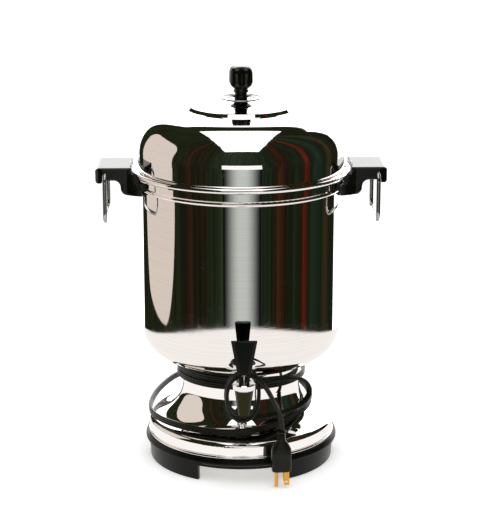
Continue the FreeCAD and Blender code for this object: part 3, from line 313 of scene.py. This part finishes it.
def knob_surface(low, high, rings=160, around=96):
    """r(t, a) = R(t) * (1 - d(t) * (1 - |cos(2 (a - turn))| ** 0.8)), with R and d interpolated over
    the height t, so that four full lobes meet in narrow valleys."""
    t = 0.5 - 0.5 * np.cos(np.linspace(0, np.pi, rings))
    radius, depth = (np.interp(t, KNOB_PROFILE[:, 0], KNOB_PROFILE[:, c])[:, None] for c in (1, 2))
    angle = np.linspace(0, 2 * np.pi, around, endpoint=False)[None, :]
    lobe = np.abs(np.cos(KNOB_LOBES / 2 * (angle - KNOB_TURN))) ** LOBE_FULLNESS
    full = KNOB_FULLER * min(high.x - low.x, high.y - low.y) / 2
    r = full * smoothed(radius, RADIUS_SMOOTH) * (1 - smoothed(depth, DEPTH_SMOOTH) * (1 - lobe))
    centre = (low + high) / 2
    z = np.broadcast_to((low.z + t * (high.z - low.z))[:, None], r.shape)
    return np.stack([centre.x + r * np.cos(angle), centre.y + r * np.sin(angle), z], -1)


knob_low, knob_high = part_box("knob")
knob = grid_mesh("knob_moulding", knob_surface(knob_low, knob_high))
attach(knob, "lid_assembly")
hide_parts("knob")
print("knob", [round(v * 1000, 1) for v in knob_high - knob_low], "mm")

# %% [markdown]
# Finishes. Colours are written as sRGB hex, the way a colour picker shows them, and one function
# turns them to the linear values that shaders work in. One small function adds a node with its
# settings and links, so each material below reads from top to bottom.


# %% Helpers for materials
def linear(hex_colour):
    """sRGB hex to linear: c/12.92 in the toe, else ((c + 0.055)/1.055)^2.4."""
    srgb = np.array([int(hex_colour[k:k + 2], 16) for k in (1, 3, 5)]) / 255
    value = np.where(srgb <= 0.04045, srgb / 12.92, ((srgb + 0.055) / 1.055) ** 2.4)
    return tuple(value.tolist()) + (1.0,)


def add_node(tree, kind, inputs=None, **settings):
    node = tree.nodes.new(kind)
    for name, value in settings.items():
        setattr(node, name, value)
    for name, value in (inputs or {}).items():
        if isinstance(value, bpy.types.NodeSocket):
            tree.links.new(value, node.inputs[name])
        else:
            node.inputs[name].default_value = value
    return node


def new_material(name):
    material = bpy.data.materials.new(name)
    material.use_nodes = True
    tree = material.node_tree
    tree.nodes.clear()
    return material, tree


def finish_material(tree, shader):
    add_node(tree, "ShaderNodeOutputMaterial", {"Surface": shader.outputs[0]})


def dress(material, *names):
    """Gives every slot of the named CAD pieces this finish."""
    for name in names:
        mesh = nodes[name].data
        mesh.materials.clear()
        mesh.materials.append(material)
        mesh.polygons.foreach_set("material_index", np.zeros(len(mesh.polygons), np.int32))


# %% [markdown]
# The drum and lid are drawn stainless steel, polished to a mirror after spinning. Under the
# shine the polishing wheel left a fine grain that runs round the piece. The eye sees it as faint
# level lines in the bright reflections, and handling has added cloudy spots and hairline
# scratches. The grain is a noise that changes quickly with height and slowly round the drum.


# %% Polished stainless steel
GRAIN_STRETCH_PER_M = 5.0
HAZE_PER_M = 38.0
SCRATCH_PER_M = 60.0
SCRATCH_TURN = (0.5, 0.9, 0.3)
SCRATCH_BEND = 0.35
HAIRLINE = 0.012
SCRATCH_ROUGHNESS = 0.12
SMOOTHEST, ROUGHEST = 0.7, 1.4


def polished_stainless(name, tint, grain_mm, grain_depth, roughness, line_depth):
    """Mirror steel. The grain is a noise squeezed to grain_mm in height, which bumps the surface by
    grain_depth metres and darkens the tint to line_depth. The roughness is the given one times
    0.7 to 1.4 after a cloudy haze, plus a little along hairlines inside the haziest patches."""
    material, tree = new_material(name)
    place = add_node(tree, "ShaderNodeTexCoord").outputs["Object"]
    lines = add_node(tree, "ShaderNodeMapping", {
        "Vector": place, "Scale": (GRAIN_STRETCH_PER_M, GRAIN_STRETCH_PER_M, 1000.0 / grain_mm)})
    grain = add_node(tree, "ShaderNodeTexNoise", {
        "Vector": lines.outputs[0], "Scale": 1.0, "Detail": 2.0, "Roughness": 0.6})
    haze = add_node(tree, "ShaderNodeTexNoise", {
        "Vector": place, "Scale": HAZE_PER_M, "Detail": 4.0, "Roughness": 0.65})
    scratch_map = add_node(tree, "ShaderNodeMapping", {
        "Vector": place, "Scale": (SCRATCH_PER_M,) * 3, "Rotation": SCRATCH_TURN})
    scratch_warp = add_node(tree, "ShaderNodeTexNoise", {
        "Vector": scratch_map.outputs[0], "Scale": SCRATCH_BEND, "Detail": 1.0})
    scratch_place = add_node(tree, "ShaderNodeVectorMath", {
        0: scratch_map.outputs[0], 1: scratch_warp.outputs["Color"]}, operation="ADD")
    scratches = add_node(tree, "ShaderNodeTexVoronoi", {
        "Vector": scratch_place.outputs[0], "Scale": 1.0}, feature="DISTANCE_TO_EDGE")
    hairline = add_node(tree, "ShaderNodeMapRange", {
        "Value": scratches.outputs["Distance"], "From Min": 0.0, "From Max": HAIRLINE,
        "To Min": 1.0, "To Max": 0.0})
    patches = add_node(tree, "ShaderNodeMapRange", {
        "Value": haze.outputs["Fac"], "From Min": 0.56, "From Max": 0.64})
    some = add_node(tree, "ShaderNodeMath", {
        0: hairline.outputs[0], 1: patches.outputs[0]}, operation="MULTIPLY")
    rough = add_node(tree, "ShaderNodeMapRange", {
        "Value": haze.outputs["Fac"], "From Min": 0.3, "From Max": 0.7,
        "To Min": roughness * SMOOTHEST, "To Max": roughness * ROUGHEST})
    rough_scratched = add_node(tree, "ShaderNodeMath", {
        0: some.outputs[0], 1: SCRATCH_ROUGHNESS, 2: rough.outputs[0]}, operation="MULTIPLY_ADD")
    bump = add_node(tree, "ShaderNodeBump", {
        "Height": grain.outputs["Fac"], "Strength": 1.0, "Distance": grain_depth})
    polished = add_node(tree, "ShaderNodeMapRange", {
        "Value": grain.outputs["Fac"], "From Min": 0.36, "From Max": 0.64,
        "To Min": line_depth, "To Max": 1.0})
    shine = add_node(tree, "ShaderNodeVectorMath", {
        0: linear(tint)[:3], "Scale": polished.outputs[0]}, operation="SCALE")
    steel = add_node(tree, "ShaderNodeBsdfPrincipled", {
        "Base Color": shine.outputs[0], "Metallic": 1.0, "Roughness": rough_scratched.outputs[0],
        "Normal": bump.outputs[0]})
    finish_material(tree, steel)
    return material


# Stainless steel, spun and wheel-polished. The drum's lines show most, the base is a clean mirror.
drum_steel = polished_stainless("polished_stainless_drum", "#f6f1ed", 0.6, 3.0e-6, 0.034, 0.93)
lid_steel = polished_stainless("polished_stainless_lid", "#f7f3f0", 0.8, 2.0e-6, 0.04, 0.95)
base_chrome = polished_stainless("polished_base_chrome", "#f9f6f3", 1.0, 1.0e-6, 0.03, 1.0)
dress(drum_steel, "vessel")
dress(lid_steel, "lid", "lid_locating_ring")
dress(base_chrome, "base_shell")

# %% [markdown]
# Small bright parts are plain chromium plate, smooth enough to be clean mirrors. The turned tap
# stem is duller, and the pieces inside the urn are drawn aluminium with the dull bloom that
# boiled water leaves. The tap's shank and spout are chromium plate drawn with a dark tint, which
# is a painted reflection of the dark room in front of the urn.


# %% Plated and aluminium parts
LEAST_BLOOM_DEPTH = 2.0e-6
BLOOM_DEPTH = 4.0e-5
BLOOM_STRENGTH = 0.3


def plain_metal(name, tint, roughness, bloom, bloom_mm):
    """Plain metal, whose roughness and bump both grow with a cloudy noise of size bloom_mm, from
    roughness where it is clean to roughness + bloom where it is bloomed."""
    material, tree = new_material(name)
    place = add_node(tree, "ShaderNodeTexCoord").outputs["Object"]
    cloud = add_node(tree, "ShaderNodeTexNoise", {
        "Vector": place, "Scale": 1000.0 / bloom_mm, "Detail": 5.0, "Roughness": 0.6})
    rough = add_node(tree, "ShaderNodeMapRange", {
        "Value": cloud.outputs["Fac"], "From Min": 0.3, "From Max": 0.7,
        "To Min": roughness, "To Max": roughness + bloom})
    bump = add_node(tree, "ShaderNodeBump", {
        "Height": cloud.outputs["Fac"], "Strength": BLOOM_STRENGTH,
        "Distance": LEAST_BLOOM_DEPTH + bloom * BLOOM_DEPTH})
    metal = add_node(tree, "ShaderNodeBsdfPrincipled", {
        "Base Color": linear(tint), "Metallic": 1.0, "Roughness": rough.outputs[0],
        "Normal": bump.outputs[0]})
    finish_material(tree, metal)
    return material


# chromium plate on brass, buffed: a clean, slightly blue-white mirror
chrome = plain_metal("chromium_plate", "#efeff0", 0.05, 0.04, 6.0)
# the same on bent wire and thin sheet, worn by hands and steam: a softer, greyer mirror
ring_chrome = plain_metal("dulled_chromium_plate", "#b0b0b0", 0.14, 0.1, 4.0)
# chromium plate whose dark tint is a painted reflection of the dark room: almost black face on, bright
# at its edges
dark_reflection_chrome = plain_metal("chromium_plate_painted_dark_reflection", "#2e2d1b", 0.12, 0.08, 3.0)
# steel turned on a lathe, left bare: pale and satin
turned_steel = plain_metal("turned_steel", "#c9c6bd", 0.22, 0.12, 1.5)
# aluminium sheet pressed to shape, bloomed by boiled water: pale grey and dull
aluminium = plain_metal("drawn_aluminium", "#cfcdc8", 0.30, 0.2, 12.0)
# stamped brass: warm yellow with a soft shine
brass = plain_metal("bright_brass", "#d9a53f", 0.22, 0.15, 4.0)
dress(dark_reflection_chrome, "tap_body")
dress(ring_chrome, "left_ring", "right_ring", "knob_heat_shield")
dress(chrome, "tap_bonnet", "union_nut", "tap_ferrule", "pilot_lamp_bezel")
dress(turned_steel, "tap_stem", "lever_pin", "handle_screws", "knob_screw", "lamp_nut", "bottom_cover",
      "cover_screws", "tie_rod", "tie_nut", "tap_spring", "thermostat")
dress(aluminium, "heater_plate", "pump_foot", "pump_tube", "tube_collar", "basket", "basket_cover")
dress(brass, "plug_prongs")

# %% [markdown]
# The handles, knob and tap lever are phenolic, a hard black moulding with a satin gloss that
# goes slightly brown and cloudy with age. The base ring is a matter black moulding, and the
# cord and plug are soft black PVC.


# %% Mouldings
AGE_PER_M = 55.0
AGED_SMOOTHEST, AGED_ROUGHEST = 0.85, 1.2


def moulding(name, low, high, roughness, grain_mm, grain_depth, specular=0.5):
    """Moulded plastic or rubber. A cloudy noise mixes the two colours and the roughness, and a fine
    grain of size grain_mm bumps the surface by grain_depth metres."""
    material, tree = new_material(name)
    place = add_node(tree, "ShaderNodeTexCoord").outputs["Object"]
    age = add_node(tree, "ShaderNodeTexNoise", {
        "Vector": place, "Scale": AGE_PER_M, "Detail": 5.0, "Roughness": 0.6})
    grain = add_node(tree, "ShaderNodeTexNoise", {
        "Vector": place, "Scale": 1000.0 / grain_mm, "Detail": 3.0, "Roughness": 0.5})
    shade = add_node(tree, "ShaderNodeValToRGB", {"Fac": age.outputs["Fac"]})
    shade.color_ramp.elements[0].position = 0.35
    shade.color_ramp.elements[0].color = linear(low)
    shade.color_ramp.elements[1].position = 0.7
    shade.color_ramp.elements[1].color = linear(high)
    rough = add_node(tree, "ShaderNodeMapRange", {
        "Value": age.outputs["Fac"], "From Min": 0.3, "From Max": 0.7,
        "To Min": roughness * AGED_SMOOTHEST, "To Max": roughness * AGED_ROUGHEST})
    bump = add_node(tree, "ShaderNodeBump", {
        "Height": grain.outputs["Fac"], "Strength": 1.0, "Distance": grain_depth})
    plastic = add_node(tree, "ShaderNodeBsdfPrincipled", {
        "Base Color": shade.outputs[0], "Roughness": rough.outputs[0], "IOR": 1.5,
        "Specular IOR Level": specular, "Normal": bump.outputs[0]})
    finish_material(tree, plastic)
    return material


# Bakelite, a phenolic moulding pressed hot: black with a satin gloss, a little cloudy
phenolic = moulding("black_phenolic", "#050602", "#0c0d05", 0.18, 1.2, 3.0e-6, 0.4)
# the lever's phenolic, polished by hands: the deepest black on the urn
lever_black = moulding("lever_phenolic", "#020301", "#050603", 0.12, 1.2, 1.0e-6, 0.12)
# moulded foot ring: black with a matter skin, which hardly mirrors the table
foot_black = moulding("foot_ring_moulding", "#050602", "#0c0d05", 0.3, 0.8, 6.0e-6, 0.16)
# PVC pressed round the wires: soft black with a dull, slightly wavy skin
cord_pvc = moulding("cord_pvc", "#0b0c03", "#17170a", 0.28, 0.6, 6.0e-6, 0.2)
# moulded seal rubber: very dark grey and quite matt
seal_rubber = moulding("seal_rubber", "#151312", "#221f1c", 0.6, 0.7, 1.5e-5)
# cream urea moulding of the terminal block: matt, slightly yellowed
cream = moulding("terminal_moulding", "#bdb49a", "#cfc7b0", 0.5, 0.8, 1.0e-5)
# glass-fibre sleeve, woven over the heater's leads: matt and off-white
sleeve = moulding("glass_sleeve", "#b9b4a6", "#d8d4c8", 0.8, 0.5, 4.0e-5)
dress(phenolic, "left_handle", "right_handle", "knob_foot")
dress(lever_black, "tap_lever")
dress(foot_black, "base_ring")
dress(cord_pvc, "strain_relief")
dress(seal_rubber, "tap_gasket", "neck_gasket", "seat_cup")
dress(cream, "terminal_block")
dress(sleeve, "heater_leads")
for piece, finish in ((knob, phenolic), (ribbon, cord_pvc), (plug, cord_pvc)):
    piece.data.materials.append(finish)

# %% [markdown]
# The pilot lamp's jewel is moulded from clear amber-red plastic. Light goes in at the dome and
# comes back deep orange. A coloured base, a little transmission and a weak glow stand for that.

# %% Pilot lamp jewel
material, tree = new_material("amber_jewel")
jewel = add_node(tree, "ShaderNodeBsdfPrincipled", {
    "Base Color": linear("#c4200a"), "Roughness": 0.1, "IOR": 1.49, "Transmission Weight": 0.15,
    "Emission Color": linear("#b02408"), "Emission Strength": 0.7})
finish_material(tree, jewel)
dress(material, "pilot_lamp_lens")

# %% [markdown]
# The studio. A mirror has no colour of its own, so the things that it reflects are set up as in
# a real still-life studio: a white table, a white sweep behind, a dark room in front, one large
# softbox overhead, a pale card on the left, and in front a bright strip over a dimmer panel. The
# cards are seen only in reflections. The camera sees plain white behind the urn, and diffuse
# surfaces get an even light.

# %% Reflected cards
CARD_X = -0.70
CARD_Y = (-0.175, 0.645)
CARD_Z = (0.004, 0.85)
CARD_CORNER = 0.20
FRONT_Y = -1.5
FRONT_HALF_W = 0.56
STRIP_LOW, STRIP_HIGH = 0.33, 0.60
STRIP_GLOW = 1.1
PANEL_LOW = -1.2
PANEL_GLOW = 0.72
PANEL_FADES_FROM = 0.06


def glowing(name, colour, strength):
    """A surface that only shines, with no shading of its own."""
    material, tree = new_material(name)
    glow = add_node(tree, "ShaderNodeEmission", {"Color": linear(colour), "Strength": strength})
    finish_material(tree, glow)
    return material


def reflected_only(obj):
    """Hides an object from all rays but those reflected by shiny surfaces."""
    obj.visible_camera = False
    obj.visible_diffuse = False
    obj.visible_shadow = False
    obj.visible_transmission = False
    obj.visible_volume_scatter = False


def flat_card(name, outline, material):
    mesh = bpy.data.meshes.new(name)
    mesh.from_pydata([tuple(p) for p in outline], [], [list(range(len(outline)))])
    mesh.materials.append(material)
    obj = bpy.data.objects.new(name, mesh)
    bpy.context.scene.collection.objects.link(obj)
    reflected_only(obj)
    return obj


def rounded_rectangle(low_u, high_u, low_v, high_v, radius, steps=12):
    """Corners are quarter circles: centre plus radius times (cos, sin) over 90 degrees each."""
    centres = [(high_u - radius, high_v - radius), (low_u + radius, high_v - radius),
               (low_u + radius, low_v + radius), (high_u - radius, low_v + radius)]
    points = []
    for quarter, (u, v) in enumerate(centres):
        angle = np.linspace(quarter, quarter + 1, steps) * np.pi / 2
        points.append(np.stack([u + radius * np.cos(angle), v + radius * np.sin(angle)], -1))
    return np.concatenate(points)


card_outline = rounded_rectangle(CARD_Y[0], CARD_Y[1], CARD_Z[0], CARD_Z[1], CARD_CORNER)
flat_card("left_card", [(CARD_X, AXIS_Y + y, z) for y, z in card_outline],
          glowing("pale_card", "#ded3ca", 1.0))


def front_panel(name, low, high, material):
    corners = [(-FRONT_HALF_W, low), (FRONT_HALF_W, low), (FRONT_HALF_W, high), (-FRONT_HALF_W, high)]
    return flat_card(name, [(x, AXIS_Y + FRONT_Y, z) for x, z in corners], material)


front_panel("front_strip", STRIP_LOW, STRIP_HIGH, glowing("front_strip_glow", "#ffffff", STRIP_GLOW))
material, tree = new_material("front_panel_glow")
place = add_node(tree, "ShaderNodeTexCoord").outputs["Object"]
aside = add_node(tree, "ShaderNodeMath", {
    0: add_node(tree, "ShaderNodeSeparateXYZ", {0: place}).outputs["X"]}, operation="ABSOLUTE")
fading = add_node(tree, "ShaderNodeMapRange", {
    "Value": aside.outputs[0], "From Min": PANEL_FADES_FROM, "From Max": FRONT_HALF_W,
    "To Min": PANEL_GLOW, "To Max": 0.0}, interpolation_type="SMOOTHSTEP")
glow = add_node(tree, "ShaderNodeEmission", {
    "Color": linear("#e2ebe7"), "Strength": fading.outputs[0]})
finish_material(tree, glow)
front_panel("front_panel", PANEL_LOW, STRIP_LOW, material)

# %% [markdown]
# The softbox hangs over the urn and a little in front of it. Its energy is its area times pi
# times the brightness that its face shows.

# %% Softbox
SOFTBOX_SIZE = (0.88, 1.58)
SOFTBOX_CENTRE = Vector((0.0, AXIS_Y - 0.342, 1.50))
SOFTBOX_GLOW = 1.6

softbox = bpy.data.lights.new("softbox", "AREA")
softbox.shape = "RECTANGLE"
softbox.size, softbox.size_y = SOFTBOX_SIZE
softbox.energy = SOFTBOX_GLOW * math.pi * SOFTBOX_SIZE[0] * SOFTBOX_SIZE[1]
softbox_object = bpy.data.objects.new("softbox", softbox)
softbox_object.location = SOFTBOX_CENTRE
bpy.context.scene.collection.objects.link(softbox_object)
print("softbox", round(softbox.energy, 1), "W")

# %% [markdown]
# The table is the floor. The camera sees it white everywhere, with the urn's soft shadow on it.
# In reflections it is a white disc about 1.4 metres across, with the room below and beyond it, as
# the sharp edge across the urn's bowl shows. The little glow is the photograph's overexposure.

# %% Table
TABLE_RADIUS = 0.68
TABLE_CENTRE_Y = AXIS_Y - 0.095
FLOOR_HALF = 6.0
TABLE_DROP = 0.0002
PAPER_GLOW = 0.3

floor_mesh = bpy.data.meshes.new("floor")
floor_mesh.from_pydata([(-FLOOR_HALF, -FLOOR_HALF, -TABLE_DROP), (FLOOR_HALF, -FLOOR_HALF, -TABLE_DROP),
                        (FLOOR_HALF, FLOOR_HALF, -TABLE_DROP), (-FLOOR_HALF, FLOOR_HALF, -TABLE_DROP)],
                       [], [(0, 1, 2, 3)])
floor = bpy.data.objects.new("floor", floor_mesh)
bpy.context.scene.collection.objects.link(floor)
material, tree = new_material("white_table")
place = add_node(tree, "ShaderNodeTexCoord").outputs["Object"]
from_centre = add_node(tree, "ShaderNodeVectorMath", {
    0: place, 1: (0.0, TABLE_CENTRE_Y, 0.0)}, operation="DISTANCE")
on_table = add_node(tree, "ShaderNodeMath", {
    0: from_centre.outputs["Value"], 1: TABLE_RADIUS}, operation="LESS_THAN")
white_disc = add_node(tree, "ShaderNodeEmission", {"Color": linear("#fffdfb")})
beyond = add_node(tree, "ShaderNodeBsdfTransparent")
seen_in_metal = add_node(tree, "ShaderNodeMixShader", {
    "Fac": on_table.outputs[0], 1: beyond.outputs[0], 2: white_disc.outputs[0]})
paper = add_node(tree, "ShaderNodeBsdfDiffuse", {"Color": linear("#fcfcfc")})
overexposed = add_node(tree, "ShaderNodeEmission", {"Color": linear("#ffffff"), "Strength": PAPER_GLOW})
bright_paper = add_node(tree, "ShaderNodeAddShader", {0: paper.outputs[0], 1: overexposed.outputs[0]})
path = add_node(tree, "ShaderNodeLightPath")
table = add_node(tree, "ShaderNodeMixShader", {
    "Fac": path.outputs["Is Glossy Ray"], 1: bright_paper.outputs[0], 2: seen_in_metal.outputs[0]})
finish_material(tree, table)
floor_mesh.materials.append(material)

# %% [markdown]
# The world is the rest of the studio. A direction gives a bearing, 0 towards the camera and
# positive to its right. Past 133 degrees on the right and 156 on the left lies the overexposed
# white sweep, up to some 42 degrees above the horizon. Everything else is a dark room with faint
# coloured upright shapes in it.

# %% World
SWEEP_RIGHT_DEG = 133.0
SWEEP_LEFT_DEG = -156.0
SWEEP_TOP = 0.66
SWEEP_GLOW = 2.6
AMBIENT = 0.86
SWEEP_SIDE_BLUR_DEG = 2.0
SWEEP_TOP_BLUR = 0.03
# the room's upright shapes: how fine they are, how tall, and how bright from least to most
SHAPES_FINE = 0.5
SHAPES_SHORT = 3.0
SHAPES_DIM, SHAPES_BRIGHT = 0.9, 2.4
# bearing in degrees and the room's tone there
ROOM_TONES = (
    (-180, "#171c10"), (-75, "#14190e"), (-66, "#17130b"), (-61, "#27180f"), (-56, "#14130b"),
    (-42, "#1a160d"), (-38, "#12170d"), (-25, "#1b2216"), (-10, "#1f261c"), (14, "#1a2016"),
    (30, "#121a10"), (38, "#191409"), (41, "#29150c"), (46, "#24120a"), (51, "#14120a"),
    (62, "#121b10"), (71, "#141408"), (75, "#4a190d"), (78, "#3a140a"), (81, "#12120a"),
    (92, "#16241a"), (104, "#10150c"), (113, "#2a2416"), (120, "#12150c"), (180, "#171c10"))

world = bpy.data.worlds.new("studio")
bpy.context.scene.world = world
world.use_nodes = True
tree = world.node_tree
tree.nodes.clear()
direction = add_node(tree, "ShaderNodeSeparateXYZ", {
    0: add_node(tree, "ShaderNodeTexCoord").outputs["Generated"]})
towards = add_node(tree, "ShaderNodeMath", {0: direction.outputs["Y"], 1: -1.0}, operation="MULTIPLY")
bearing_rad = add_node(tree, "ShaderNodeMath", {
    0: direction.outputs["X"], 1: towards.outputs[0]}, operation="ARCTAN2")
bearing = add_node(tree, "ShaderNodeMath", {
    0: bearing_rad.outputs[0], 1: 180.0 / math.pi}, operation="MULTIPLY")
right_sweep = add_node(tree, "ShaderNodeMapRange", {
    "Value": bearing.outputs[0], "From Min": SWEEP_RIGHT_DEG,
    "From Max": SWEEP_RIGHT_DEG + SWEEP_SIDE_BLUR_DEG})
left_sweep = add_node(tree, "ShaderNodeMapRange", {
    "Value": bearing.outputs[0], "From Min": SWEEP_LEFT_DEG,
    "From Max": SWEEP_LEFT_DEG - SWEEP_SIDE_BLUR_DEG})
sweep_side = add_node(tree, "ShaderNodeMath", {
    0: right_sweep.outputs[0], 1: left_sweep.outputs[0]}, operation="MAXIMUM")
sweep_low = add_node(tree, "ShaderNodeMapRange", {
    "Value": direction.outputs["Z"], "From Min": SWEEP_TOP + SWEEP_TOP_BLUR, "From Max": SWEEP_TOP})
sweep = add_node(tree, "ShaderNodeMath", {
    0: sweep_side.outputs[0], 1: sweep_low.outputs[0]}, operation="MULTIPLY")
turn = add_node(tree, "ShaderNodeMath", {
    0: bearing.outputs[0], 1: 1.0 / 360.0, 2: 0.5}, operation="MULTIPLY_ADD")
room = add_node(tree, "ShaderNodeValToRGB", {"Fac": turn.outputs[0]})
ramp = room.color_ramp
while len(ramp.elements) < len(ROOM_TONES):
    ramp.elements.new(1.0)
for element, (degrees, tone) in zip(ramp.elements, ROOM_TONES):
    element.position = degrees / 360.0 + 0.5
    element.color = linear(tone)
upright = add_node(tree, "ShaderNodeCombineXYZ", {
    "X": bearing.outputs[0], "Y": add_node(tree, "ShaderNodeMath", {
        0: direction.outputs["Z"], 1: SHAPES_SHORT}, operation="MULTIPLY").outputs[0]})
shapes = add_node(tree, "ShaderNodeTexNoise", {
    "Vector": upright.outputs[0], "Scale": SHAPES_FINE, "Detail": 3.0, "Roughness": 0.7})
lively = add_node(tree, "ShaderNodeMapRange", {
    "Value": shapes.outputs["Fac"], "From Min": 0.35, "From Max": 0.65,
    "To Min": SHAPES_DIM, "To Max": SHAPES_BRIGHT})
room_light = add_node(tree, "ShaderNodeVectorMath", {
    0: room.outputs[0], "Scale": lively.outputs[0]}, operation="SCALE")
bright_sweep = add_node(tree, "ShaderNodeVectorMath", {
    0: (1.0, 1.0, 1.0), "Scale": SWEEP_GLOW}, operation="SCALE")
studio = add_node(tree, "ShaderNodeMix", {
    "Factor": sweep.outputs[0], "A": room_light.outputs[0], "B": bright_sweep.outputs[0]},
    data_type="RGBA", clamp_result=False)
ambient = add_node(tree, "ShaderNodeBackground", {"Color": linear("#ffffff"), "Strength": AMBIENT})
reflected = add_node(tree, "ShaderNodeBackground", {"Color": studio.outputs["Result"]})
white = add_node(tree, "ShaderNodeBackground", {"Color": linear("#ffffff")})
path = add_node(tree, "ShaderNodeLightPath")
mixed = add_node(tree, "ShaderNodeMixShader", {
    "Fac": path.outputs["Is Glossy Ray"], 1: ambient.outputs[0], 2: reflected.outputs[0]})
clear_view = add_node(tree, "ShaderNodeMath", {
    0: path.outputs["Is Camera Ray"], 1: path.outputs["Is Transmission Ray"]}, operation="MAXIMUM")
sky = add_node(tree, "ShaderNodeMixShader", {
    "Fac": clear_view.outputs[0], 1: mixed.outputs[0], 2: white.outputs[0]})
add_node(tree, "ShaderNodeOutputWorld", {"Surface": sky.outputs[0]})

# %% [markdown]
# The plain Standard view keeps the whites of a product photograph.

# %% Finish
bpy.context.scene.view_settings.view_transform = "Standard"
